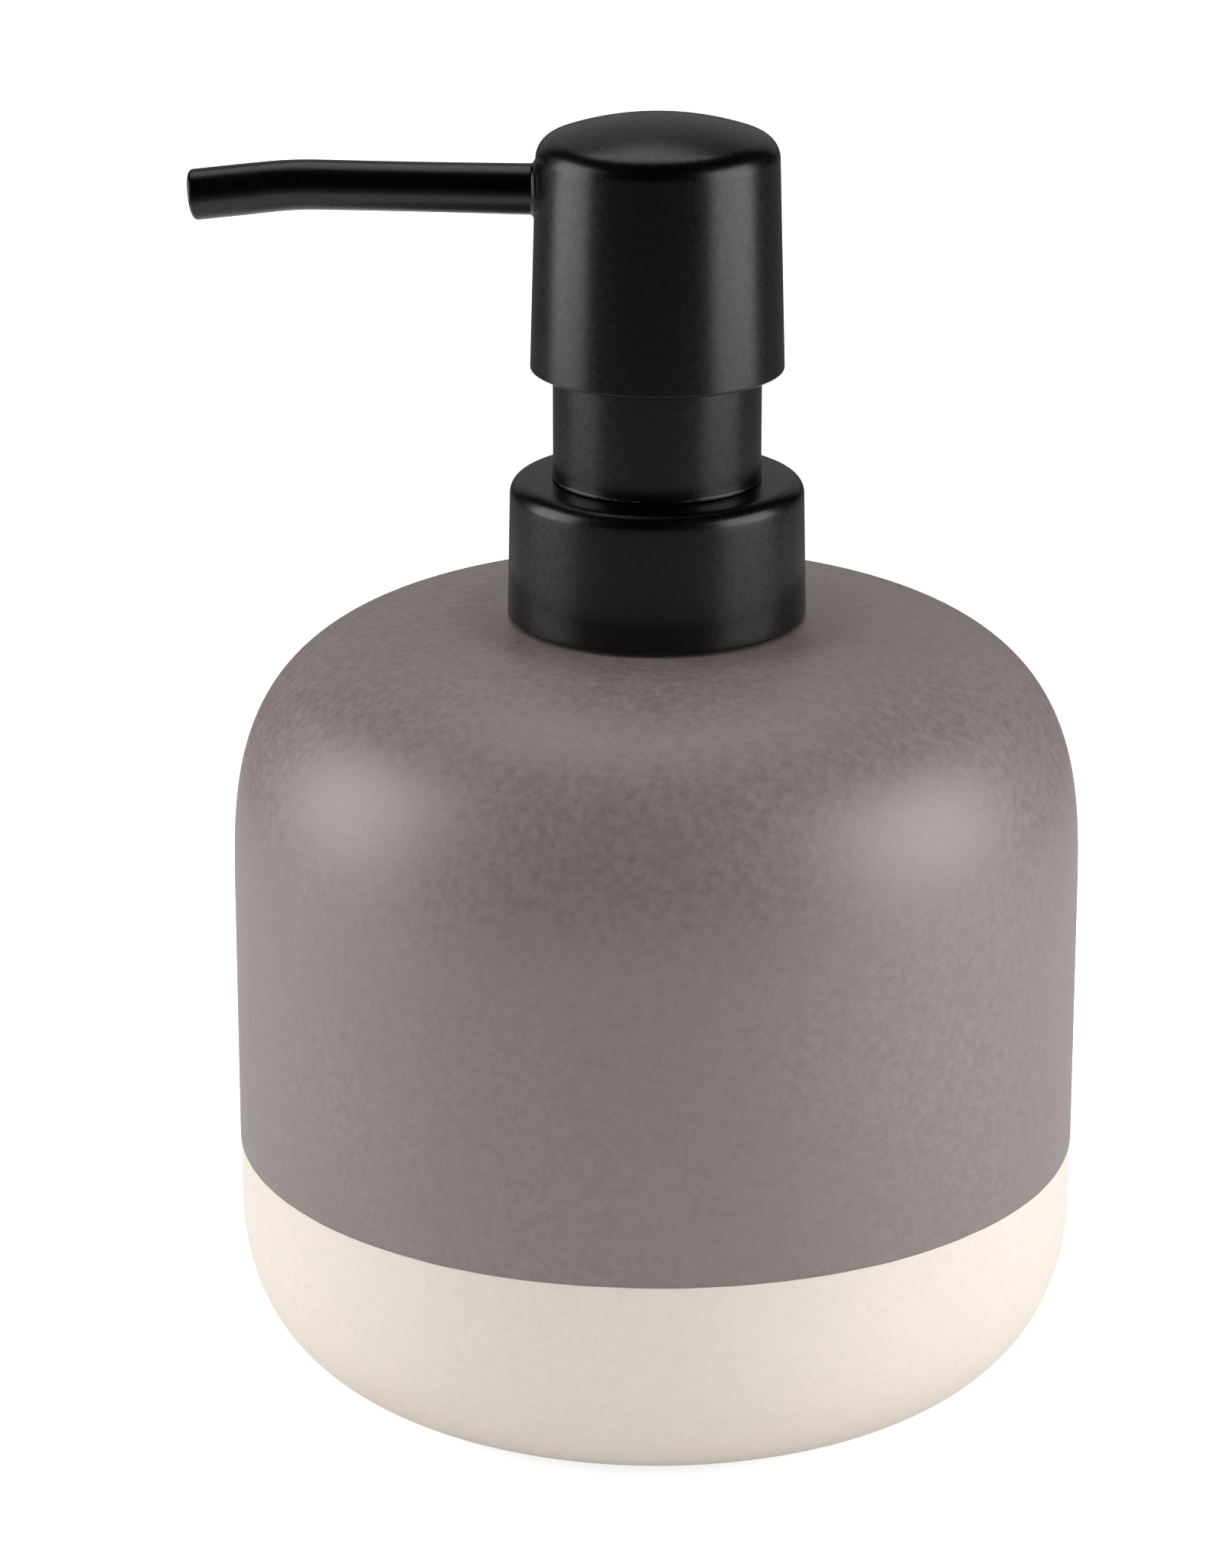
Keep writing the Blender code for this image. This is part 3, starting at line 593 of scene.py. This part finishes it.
def makeBottle():
    # the outline turned about Z. Round the mouth, height drops by depth x rise x (3 - 2 ease) ease^2 for
    # the seat, and below the glaze line radius drops by the glaze's thickness
    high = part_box("bottle")[1]
    s = bottleShape
    inside, outside = bottleOutline(high.x, high.z)
    ring = np.vstack(inside + outside)[1:-1]
    firstOutside = sum(len(part) for part in inside) - 1
    lineRow = firstOutside + len(outside[0]) + int(np.argmin(np.abs(s["glazeRows"])))
    rowIndex = np.arange(len(ring))[:, None]
    onOutside = rowIndex >= firstOutside
    angle = turnsAround(s["around"])
    r, z = ringGrid(ring, s["around"])
    # a shallow seat for the collar's skirt: steep on its inner side, easing out on the other
    rise = np.clip((r - s["seatInside"]) / s["seatStep"], 0.0, 1.0)
    ease = np.clip((s["seatOutside"] - r) / (s["seatOutside"] - s["seatFull"]), 0.0, 1.0)
    nearTop = z > high.z - s["seatBand"]
    z -= s["seatDepth"] * rise * ease ** 2 * (3 - 2 * ease) * nearTop
    # the glaze ends in a slightly wandering line and stands a hair proud of the bare body
    nearLine = np.exp(-((z - s["glazeLine"]) / s["waveBand"]) ** 2) * onOutside
    z += waveAround(angle, s["waveSeed"], s["waveOrders"], s["glazeWave"]) * nearLine
    thinner = np.clip((z - s["footHeight"] * s["thinFrom"]) / s["thinOver"], 0.0, 1.0)
    r -= ((rowIndex > lineRow) & onOutside) * s["glazeThickness"] * thinner
    r -= (rowIndex == lineRow) * onOutside * s["edgeDip"]
    poles = ((0.0, 0.0, s["floor"]), (0.0, 0.0, 0.0))
    piece = meshFromGrid("bottleBody", turnedGrid(r, z, angle), False, *poles)
    # how near a point of the glaze is to its edge
    edge = np.exp(-np.abs(z - z[lineRow]) / s["edgeBand"]) * onOutside * (rowIndex <= lineRow)
    values = np.concatenate([edge.reshape(-1), np.zeros(len(poles))])
    attribute = piece.data.attributes.new("glazeEdge", "FLOAT", "POINT")
    attribute.data.foreach_set("value", values.astype(np.float32))
    finishPiece(piece, "bottle", "glaze", ["bottle"], glaze, cream)
    # glaze down to its line and inside, bare body from there to the middle of the base
    faceRows = np.repeat(np.arange(len(ring) - 1), s["around"])
    bare = (faceRows >= lineRow).astype(np.int32)
    fans = np.concatenate([np.zeros(s["around"]), np.ones(s["around"])]).astype(np.int32)
    piece.data.polygons.foreach_set("material_index", np.concatenate([bare, fans]))
    return piece


makeBottle()
print("bottle made")


collarShape = {
    "wall": 1.45 * mm,
    "draft": 0.35 * mm,
    "plate": 1.2 * mm,
    "fillet": 1.8 * mm,
    "hole": 11.8 * mm,
    "reach": 0.80 * mm,  # the skirt comes this much lower, almost onto the shoulder
    "arcSteps": 12,
    "around": 224,
}


def makeCollar():
    # a cup turned about Z with a hole in its flat top; its side narrows by the draft from rim to top
    low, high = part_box("collar_shell")
    s = collarShape
    bottom = high.x
    top = bottom - s["draft"]
    bore = top - s["wall"]
    rim = low.z - s["reach"]
    ceiling = high.z - s["plate"]
    corners = [
        (s["hole"], high.z, corner["soft"]),
        (top, high.z, s["fillet"]),
        (bottom, rim, corner["eased"]),
        (bore, rim, corner["small"]),
        (bore, ceiling, corner["eased"]),
        (s["hole"], ceiling, corner["crisp"]),
    ]
    piece = turnedPiece("collarCover", roundedOutline(corners, True, s["arcSteps"]), s["around"])
    return finishPiece(piece, "collar", "black_coat", ["collar_shell"], black)


sleeveShape = {
    "radius": 12.1 * mm,
    "wall": 1.6 * mm,
    "flare": 0.13 * mm,
    "flareHeight": 0.4 * mm,
    "spigotStep": 0.6 * mm,
    "rimRounding": 0.14 * mm,
    "flange": 0.9 * mm,
    "above": 0.06 * mm,  # gap between its rim and the collar's top
    "arcSteps": 8,
    "around": 224,
}


def makeSleeve():
    # a tube turned about Z: it flares a little at the collar, steps in through it and ends in a flange
    low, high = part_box("sleeve")
    s = sleeveShape
    bore = s["radius"] - s["wall"]
    spigot = s["radius"] - s["spigotStep"]
    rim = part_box("collar_shell")[1].z + s["above"]
    corners = [
        (bore, high.z, corner["soft"]),
        (s["radius"], high.z, corner["round"]),
        (s["radius"], rim + s["flareHeight"], corner["full"]),
        (s["radius"] + s["flare"], rim, s["rimRounding"]),
        (spigot, rim, corner["tight"]),
        (spigot, low.z + s["flange"], corner["crisp"]),
        (high.x, low.z + s["flange"], corner["fine"]),
        (high.x, low.z, corner["fine"]),
        (bore, low.z, corner["small"]),
    ]
    piece = turnedPiece("fixedSleeve", roundedOutline(corners, True, s["arcSteps"]), s["around"])
    return finishPiece(piece, "pump", "black_coat", ["sleeve"], black)


headShape = {
    "draft": 0.71 * mm,
    "wall": 1.45 * mm,
    "top": 1.3 * mm,
    "domeRadius": 35.7 * mm,
    "fillet": 2.8 * mm,
    "edge": 0.25 * mm,
    "hole": 3.1 * mm,
    "holeSides": 72,
    "domeRows": 44,
    "filletRows": 22,
    "ceilingRows": 14,
    "wallRow": 2.0 * mm,
    "arcSteps": 8,
    "around": 224,
}


def ballLine(centreHeight, radius, edgeRadius, steps):
    # sphere's outline from the axis out to that radius: r = R sin(t), z = centre + R cos(t)
    t = np.linspace(0.0, math.asin(edgeRadius / radius), steps)
    return np.stack([radius * np.sin(t), centreHeight + radius * np.cos(t)], 1)


def makeHead():
    # a cap turned about Z: part of a sphere, a fillet and a drafted side, with a hole for the spout.
    # The fillet touches the sphere from inside and ends on the side: sin(slope) = (top - f) / (ball - f)
    low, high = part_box("head_shell")
    s = headShape
    bottom = high.x
    top = bottom - s["draft"]
    ball = s["domeRadius"]
    fillet = s["fillet"]
    centre = high.z - ball
    slope = math.asin((top - fillet) / (ball - fillet))
    filletZ = centre + (ball - fillet) * math.cos(slope)
    t = np.linspace(math.pi / 2 - slope, 0.0, s["filletRows"])[1:]
    arc = np.stack([top - fillet + fillet * np.cos(t), filletZ + fillet * np.sin(t)], 1)
    dome = ballLine(centre, ball, ball * math.sin(slope), s["domeRows"])
    bore = top - s["wall"]
    ceiling = ballLine(centre, ball - s["top"], bore, s["ceilingRows"])[::-1]
    corners = [
        (top, filletZ - corner["soft"], 0.0),
        (bottom, low.z, s["edge"]),
        (bottom - s["wall"], low.z, s["edge"]),
        (bore, ceiling[0, 1] - corner["small"], 0.0),
    ]
    skirt = roundedOutline(corners, False, s["arcSteps"])
    side = evenRun([arc[-1], skirt[1]], s["wallRow"])[1:-1]
    outline = np.vstack([dome, arc, side, skirt[1:], ceiling])
    piece = turnedPiece("headCap", outline, s["around"], closed=False)
    spoutLow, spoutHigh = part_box("spout")
    bpy.ops.mesh.primitive_cylinder_add(
        vertices=s["holeSides"],
        radius=s["hole"],
        depth=bottom,
        location=(-bottom, 0, spoutHigh.z - (spoutHigh.y - spoutLow.y) / 2),
        rotation=(0, math.pi / 2, 0),
    )
    cutWith(piece, bpy.context.object)
    return finishPiece(piece, "head", "black_coat", ["head_shell"], black)


spoutShape = {
    "bore": 2.0 * mm,
    "bendLength": 6.0 * mm,
    "tipLength": 8.9 * mm,
    "bendDeg": 7.2,
    "lip": 0.5 * mm,
    "boreLip": 0.3 * mm,
    "fillet": 0.5 * mm,
    "root": 4.9 * mm,
    "waist": 0.09 * mm,
    "waistEnd": 6.0 * mm,  # the waist ends this far from the tip
    "headWider": 0.2 * mm,  # how much wider the head's side is at the spout than at its top
    "inHead": 0.35 * mm,  # the fillet is left out deeper than this inside the head
    "lipRows": 9,
    "boreRows": 30,
    "around": 96,
}


def makeSpout():
    # a tube along a straight run, a bend at an even rate and a straight end, each ring square to it.
    # In the bend, drop = length x tan(bend) x share^2 / 2 and the slope's tangent is tan(bend) x share
    low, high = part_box("spout")
    s = spoutShape
    radius = (high.y - low.y) / 2
    axisHeight = high.z - radius
    bend = math.radians(s["bendDeg"])
    reach = -low.x - radius * math.sin(bend)
    bendEnd = reach - s["tipLength"]
    bendStart = bendEnd - s["bendLength"]
    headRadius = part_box("head_shell")[1].x - headShape["draft"] + s["headWider"]
    lip = s["lip"]
    soft = s["boreLip"]
    t = np.linspace(0.0, math.pi / 2, s["lipRows"])
    # stretches along the outside as start, end and rows, closest where the tube meets the head
    stretches = [
        (s["root"], headRadius - 0.8 * mm, 8),
        (headRadius - 0.7 * mm, headRadius + 1.2 * mm, 28),
        (headRadius + 1.6 * mm, bendStart, 18),
        (bendStart + 0.3 * mm, bendEnd, 20),
        (bendEnd + 0.4 * mm, reach - lip - 0.15 * mm, 12),
    ]
    outerRun = np.concatenate([np.linspace(*stretch) for stretch in stretches])
    along = np.concatenate([
        outerRun,
        reach - lip + lip * np.sin(t),
        reach - soft + soft * np.cos(t),
        np.linspace(reach - lip, s["root"], s["boreRows"]),
    ])
    wide = np.concatenate([
        np.full(len(outerRun), radius),
        radius - lip + lip * np.cos(t),
        s["bore"] + soft - soft * np.sin(t),
        np.full(s["boreRows"], s["bore"]),
    ])
    angle = turnsAround(s["around"])
    alongGrid = np.broadcast_to(along[:, None], (len(along), s["around"]))
    wideGrid = np.broadcast_to(wide[:, None], alongGrid.shape).copy()
    onOutside = np.arange(len(along))[:, None] < len(outerRun)
    # drawn in a little half way along, as a hand-bent tube is
    middle = np.clip((alongGrid - headRadius) / (reach - s["waistEnd"] - headRadius), 0.0, 1.0)
    wideGrid -= s["waist"] * np.sin(math.pi * middle) * onOutside
    # fillet where the tube meets the round side of the head: a quarter circle past the crossing
    crossing = np.sqrt(headRadius ** 2 - (radius * np.sin(angle)) ** 2)
    past = np.clip(alongGrid - crossing, 0.0, s["fillet"])
    flare = s["fillet"] - np.sqrt(s["fillet"] ** 2 - (s["fillet"] - past) ** 2)
    wideGrid += flare * onOutside * ~(alongGrid < crossing - s["inHead"])
    share = np.clip((alongGrid - bendStart) / s["bendLength"], 0.0, 1.0)
    drop = s["bendLength"] * math.tan(bend) * share ** 2 / 2
    drop = drop + np.clip(alongGrid - bendEnd, 0.0, None) * math.tan(bend)
    slope = np.arctan(math.tan(bend) * share)
    across = wideGrid * np.sin(angle)
    upright = wideGrid * np.cos(angle)
    height = axisHeight - drop + upright * np.cos(slope)
    grid = np.stack([-alongGrid - upright * np.sin(slope), across, height], -1)
    piece = meshFromGrid("spoutTube", grid[:, ::-1], True, None, None)
    return finishPiece(piece, "head", "black_coat", ["spout"], black)


makeCollar()
makeSleeve()
makeHead()
makeSpout()
print("black shells made")


# the pale inner pieces show when the pump is lifted out
neckShape = {
    "neck": 12.7 * mm,
    "bore": 10.4 * mm,
    "plug": 12.0 * mm,
    "flange": 1.2 * mm,
    "pitch": 3.6 * mm,
    "turns": 1.25,
    "ridge": 0.6 * mm,
    "seat": 0.3 * mm,
    "rim": 0.3 * mm,
    "rimRows": 6,
    "sideRows": 64,
    "sideTop": 0.45 * mm,
    "sideBottom": 0.35 * mm,
    "around": 192,
}

threadTaper = 0.06  # share of a turn over which a thread's ends rise


def threadRise(angle, height, startHeight, pitch, turns, ridge):
    # half-round ridge that climbs one pitch a turn: rise = ridge x sqrt(1 - offset^2), with tapered ends
    total = np.zeros(np.broadcast(angle, height).shape)
    for lap in range(int(math.ceil(turns)) + 1):
        swept = angle / (2 * math.pi) + lap
        offset = (height - startHeight - swept * pitch) / ridge
        ends = np.clip(swept / threadTaper, 0.0, 1.0) * np.clip((turns - swept) / threadTaper, 0.0, 1.0)
        total = np.maximum(total, np.sqrt(np.clip(1 - offset ** 2, 0.0, None)) * ridge * ends)
    return total


def makeNeck():
    # a flanged tube turned about Z: a plug below the flange, and a thread standing out of the neck above it
    low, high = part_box("neck_insert")
    s = neckShape
    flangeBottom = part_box("bottle")[1].z + s["seat"]
    flangeTop = flangeBottom + s["flange"]
    rim = s["rim"]
    side = np.linspace(high.z - s["sideTop"], flangeTop + s["sideBottom"], s["sideRows"])
    t = np.linspace(math.pi / 2, 0.0, s["rimRows"])
    top = np.stack([s["neck"] - rim + rim * np.cos(t), high.z - rim + rim * np.sin(t)], 1)
    corners = [
        (s["neck"], flangeTop + rim, 0.0),
        (s["neck"], flangeTop, corner["small"]),
        (high.x, flangeTop, corner["soft"]),
        (high.x, flangeBottom, corner["small"]),
        (s["plug"], flangeBottom, corner["crisp"]),
        (s["plug"], low.z, corner["eased"]),
        (s["bore"], low.z, corner["soft"]),
        (s["bore"], high.z, 0.0),
    ]
    rest = roundedOutline(corners, False)[:-1]
    ending = np.array([[s["bore"], high.z - corner["round"]], [s["bore"] + rim, high.z]])
    outline = np.vstack([top, np.stack([np.full(s["sideRows"], s["neck"]), side], 1), rest, ending])
    angle = turnsAround(s["around"])
    r, z = ringGrid(outline, s["around"])
    start = flangeTop + (high.z - flangeTop - s["turns"] * s["pitch"]) / 2
    rows = np.arange(len(outline))[:, None]
    threaded = (rows >= s["rimRows"]) & (rows < s["rimRows"] + s["sideRows"])
    r += threadRise(angle, z, start, s["pitch"], s["turns"], s["ridge"]) * threaded
    piece = meshFromGrid("threadedNeck", turnedGrid(r, z, angle), True, None, None)
    return finishPiece(piece, "bottle", "white_plastic", ["neck_insert"], whitePlastic)


ringShape = {
    "wall": 1.05 * mm,
    "web": 0.9 * mm,
    "hole": 12.15 * mm,
    "pitch": 3.6 * mm,
    "turns": 1.25,
    "ridge": 0.5 * mm,
    "threadStart": 1.5 * mm,
    "sideRows": 72,
    "sideBottom": 0.35 * mm,
    "sideTop": 0.3 * mm,
    "around": 192,
}


def makeRing():
    # a cup turned about Z with a hole in its web, and a thread standing in from its bore
    low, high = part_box("closure_ring")
    s = ringShape
    bore = high.x - s["wall"]
    webBottom = high.z - s["web"]
    side = np.linspace(low.z + s["sideBottom"], webBottom - s["sideTop"], s["sideRows"])
    corners = [
        (s["hole"], webBottom, 0.0),
        (s["hole"], high.z, corner["fine"]),
        (high.x, high.z, corner["round"]),
        (high.x, low.z, corner["soft"]),
        (bore, low.z, corner["small"]),
        (bore, low.z + corner["soft"], 0.0),
    ]
    shell = roundedOutline(corners, False)[:-1]
    ending = [[bore, webBottom], [bore - corner["soft"], webBottom]]
    outline = np.vstack([shell, np.stack([np.full(s["sideRows"], bore), side], 1), ending])
    angle = turnsAround(s["around"])
    r, z = ringGrid(outline, s["around"])
    rows = np.arange(len(outline))[:, None]
    threaded = (rows >= len(shell)) & (rows < len(shell) + s["sideRows"])
    r -= threadRise(angle, z, low.z + s["threadStart"], s["pitch"], s["turns"], s["ridge"]) * threaded
    piece = meshFromGrid("threadedRing", turnedGrid(r, z, angle), True, None, None)
    return finishPiece(piece, "collar", "white_plastic", ["closure_ring"], whitePlastic)


housingShape = {
    "bore": 6.8 * mm,
    "wall": 1.2 * mm,
    "flange": 1.0 * mm,
    "socket": 3.3 * mm,
    "socketWall": 1.2 * mm,
    "seat": 1.3 * mm,
    "pocket": 2.5 * mm,
    "socketLength": 10.0 * mm,
    "land": 1.2 * mm,
    "cone": 1.2 * mm,
    "pocketHeight": 4.4 * mm,
    "floor": 1.4 * mm,
    "tipRounding": 0.35 * mm,
    "around": 144,
}


def makeHousing():
    # a stepped cylinder turned about Z: flange, barrel, pocket and cone for the ball, and the tube's socket
    low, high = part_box("pump_housing")
    s = housingShape
    outer = s["bore"] + s["wall"]
    boss = s["socket"] + s["socketWall"]
    socketTop = low.z + s["socketLength"]
    coneBottom = socketTop + s["land"]
    coneTop = coneBottom + s["cone"]
    floor = coneTop + s["pocketHeight"]
    taperTop = floor - s["floor"]
    corners = [
        (s["bore"], high.z, corner["soft"]),
        (high.x, high.z, corner["small"]),
        (high.x, high.z - s["flange"], corner["small"]),
        (outer, high.z - s["flange"], corner["soft"]),
        (outer, taperTop, corner["full"]),
        (boss, taperTop - (outer - boss), corner["full"]),
        (boss, low.z, s["tipRounding"]),
        (s["socket"], low.z, corner["soft"]),
        (s["socket"], socketTop, corner["crisp"]),
        (s["seat"], socketTop, corner["crisp"]),
        (s["seat"], coneBottom, corner["crisp"]),
        (s["pocket"], coneTop, corner["crisp"]),
        (s["pocket"], floor, corner["crisp"]),
        (s["bore"], floor, corner["soft"]),
    ]
    piece = turnedPiece("pumpCylinder", roundedOutline(corners, True), s["around"])
    return finishPiece(piece, "pump", "white_plastic", ["pump_housing"], whitePlastic)


tubeShape = {"wall": 0.8 * mm, "slantDeg": 35.0, "around": 96, "rows": 60}


def makeDipTube():
    # straight tube whose lower end is cut on a slant: height there = low + (R - x) tan(slant)
    low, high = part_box("dip_tube")
    s = tubeShape
    outer = high.y
    inner = outer - s["wall"]
    share = np.linspace(0.0, 1.0, s["rows"])
    angle = turnsAround(s["around"])
    shift = np.concatenate([share, share[::-1]])[:, None]
    r = np.concatenate([np.full(s["rows"], outer), np.full(s["rows"], inner)])[:, None]
    bottom = low.z + (outer - r * np.cos(angle)) * math.tan(math.radians(s["slantDeg"]))
    z = high.z + (bottom - high.z) * shift
    piece = meshFromGrid("dipTube", turnedGrid(r, z, angle), True, None, None)
    return finishPiece(piece, "pump", "clear_tube", ["dip_tube"], tubePlastic)


springShape = {
    "radius": 5.0 * mm,
    "wire": 0.45 * mm,
    "turns": 6,
    "endRise": 2.4,  # how far the first and the last turn climb, in wire radii
    "stroke": 12.5 * mm,
    "around": 14,
    "perTurn": 60,
}


def makeSpring():
    # coil: each end turn climbs a little and the turns between climb evenly, with a round wire square to it
    low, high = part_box("return_spring")
    s = springShape
    turn = np.linspace(0.0, s["turns"], s["turns"] * s["perTurn"] + 1)
    start = low.z + s["wire"]
    end = high.z - s["wire"]
    endRise = s["endRise"] * s["wire"]
    live = np.clip((turn - 1) / (s["turns"] - 2), 0.0, 1.0)
    height = start + (np.clip(turn, 0, 1) + np.clip(turn - s["turns"] + 1, 0, None)) * endRise
    height = height + live * (end - start - 2 * endRise)
    swing = 2 * math.pi * turn
    steep = np.arctan(np.gradient(height, swing) / s["radius"])[:, None]
    wireAngle = turnsAround(s["around"])
    out = s["radius"] + s["wire"] * np.cos(wireAngle)
    lift = s["wire"] * np.sin(wireAngle)
    ahead = np.cos(swing)[:, None]
    aside = np.sin(swing)[:, None]
    x = out * ahead + lift * np.sin(steep) * aside
    y = out * aside - lift * np.sin(steep) * ahead
    z = height[:, None] + lift * np.cos(steep)
    firstPole = (s["radius"], 0.0, height[0])
    lastPole = (s["radius"] * math.cos(swing[-1]), s["radius"] * math.sin(swing[-1]), height[-1])
    piece = meshFromGrid("returnSpring", np.stack([x, y, z], -1), False, firstPole, lastPole)
    finishPiece(piece, "pump", "steel", ["return_spring"], steel)
    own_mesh(piece)
    return piece


makeNeck()
makeRing()
makeHousing()
makeDipTube()
makeSpring()

innerFinishes = {
    "neck_gasket": foam,
    "chaplet": whitePlastic,
    "head_core": whitePlastic,
    "stem": whitePlastic,
    "stem_plug": whitePlastic,
    "piston": sealPlastic,
    "spring_seat": whitePlastic,
    "inlet_ball": steel,
    "outlet_ball": steel,
    "outlet_cage": whitePlastic,
}
for nodeName, finish in innerFinishes.items():
    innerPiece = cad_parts[nodeName]
    innerPiece.data.materials.clear()
    innerPiece.data.materials.append(finish)
print("inner pieces made")


studio = {
    "floorSize": 6.0,
    "floorRoughness": 0.9,
    "cardRadius": 0.32,
    "cardBlur": 0.02,
    "cardColour": 0.85,
    "tableColour": 0.16,
    "floorGlow": 0.75,
    "roomFill": 0.65,
    "lampColour": (1.0, 0.995, 0.988),
    # name, turn round the object from the front, distance, width, lowest and highest edge, brightness
    "panels": [
        ("softboxLeft", -83.0, 0.38, 0.29, 0.045, 0.37, 3.2),
        ("softboxRight", 79.0, 0.38, 0.33, 0.04, 0.35, 3.3),
        ("backWall", 185.0, 1.20, 1.60, 0.15, 1.00, 0.27),
    ],
    "top": {"radius": 0.36, "left": 0.10, "back": 0.33, "height": 0.95, "aim": 0.1, "sheen": 1.4,
            "fill": 1.4},
}


def makeFloor():
    # a white card on a darker table: colour falls from card to table over the blur past the card's radius.
    # The camera sees it all as bright white paper
    bpy.ops.mesh.primitive_plane_add(size=studio["floorSize"])
    floor = bpy.context.object
    floor.name = "studioFloor"
    finish, tree, shader, place = newFinish("paleFloor", studio["floorRoughness"])
    shader.inputs["Specular IOR Level"].default_value = 0.0
    shader.inputs["Emission Color"].default_value = (1.0, 1.0, 1.0, 1.0)
    away = addNode(tree, "ShaderNodeVectorMath", {0: place}, operation="LENGTH").outputs["Value"]
    edge = studio["cardRadius"]
    card = remap(tree, away, edge, edge + studio["cardBlur"], studio["cardColour"], studio["tableColour"])
    seen = addNode(tree, "ShaderNodeLightPath").outputs["Is Camera Ray"]
    white = blendColour(tree, seen, card, (studio["cardColour"],) * 3)
    tree.links.new(white, shader.inputs["Base Color"])
    tree.links.new(multiply(tree, seen, studio["floorGlow"]), shader.inputs["Emission Strength"])
    floor.data.materials.append(finish)


def addLamp(name, place, target, brightness, width, height=None):
    # an area light of that radiance: power = radiance x pi x area
    lamp = bpy.data.lights.new(name, "AREA")
    lamp.size = width
    area = math.pi * width ** 2 / 4
    lamp.shape = "DISK"
    if height is not None:
        lamp.shape = "RECTANGLE"
        lamp.size_y = height
        area = width * height
    lamp.energy = brightness * math.pi * area
    lamp.color = studio["lampColour"]
    panel = bpy.data.objects.new(name, lamp)
    bpy.context.scene.collection.objects.link(panel)
    panel.location = place
    panel.rotation_euler = (Vector(target) - Vector(place)).to_track_quat("-Z", "Y").to_euler()
    panel.visible_camera = False
    return panel


def makeLamps():
    # a panel stands at x = distance sin(turn), y = -distance cos(turn) and faces the pump's axis
    for name, turn, distance, width, lowest, highest, brightness in studio["panels"]:
        a = math.radians(turn)
        middle = (lowest + highest) / 2
        place = (math.sin(a) * distance, -math.cos(a) * distance, middle)
        addLamp(name, place, (0.0, 0.0, middle), brightness, width, highest - lowest)
    # the lamp overhead is two lights at one place, so that its sheen and its fill are set apart
    top = studio["top"]
    place = (-top["left"], top["back"], top["height"])
    target = (0.0, 0.0, top["aim"])
    addLamp("topSheen", place, target, top["sheen"], 2 * top["radius"]).visible_diffuse = False
    addLamp("topFill", place, target, top["fill"], 2 * top["radius"]).visible_glossy = False


def makeWorld():
    # white where the camera looks past the floor, an even fill for matt surfaces, nothing for reflections
    world = bpy.data.worlds.new("studioRoom")
    world.use_nodes = True
    tree = world.node_tree
    seen = addNode(tree, "ShaderNodeLightPath").outputs["Is Camera Ray"]
    strength = remap(tree, seen, 0.0, 1.0, studio["roomFill"], 1.0)
    back = tree.nodes["Background"]
    back.inputs["Color"].default_value = (1.0, 1.0, 1.0, 1.0)
    tree.links.new(strength, back.inputs["Strength"])
    world.cycles_visibility.glossy = False
    bpy.context.scene.world = world


cameraPlace = {
    "turnDeg": 5.0,
    "tiltDeg": 18.65,
    "panDeg": 0.493,
    "distance": 0.6497,
    "aim": 0.07225,
    "lens": 126.1,
    "sensor": 36.0,
    "near": 0.01,
}


def makeCamera():
    # stands at aim + distance x (sin turn cos tilt, -cos turn cos tilt, sin tilt) and looks back, then pans
    c = cameraPlace
    turn, tilt, pan = (math.radians(c[key]) for key in ("turnDeg", "tiltDeg", "panDeg"))
    back = Vector((math.sin(turn) * math.cos(tilt), -math.cos(turn) * math.cos(tilt), math.sin(tilt)))
    lens = bpy.data.cameras.new("camera")
    lens.lens = c["lens"]
    lens.sensor_width = c["sensor"]
    lens.clip_start = c["near"]
    camera = bpy.data.objects.new("camera", lens)
    camera.location = Vector((0.0, 0.0, c["aim"])) + back * c["distance"]
    look = Matrix.Rotation(pan, 3, "Z") @ -back
    camera.rotation_euler = look.to_track_quat("-Z", "Y").to_euler()
    bpy.context.scene.collection.objects.link(camera)
    bpy.context.scene.camera = camera


makeFloor()
makeLamps()
makeWorld()
makeCamera()
bpy.context.scene.view_settings.view_transform = "Standard"
print("studio made")
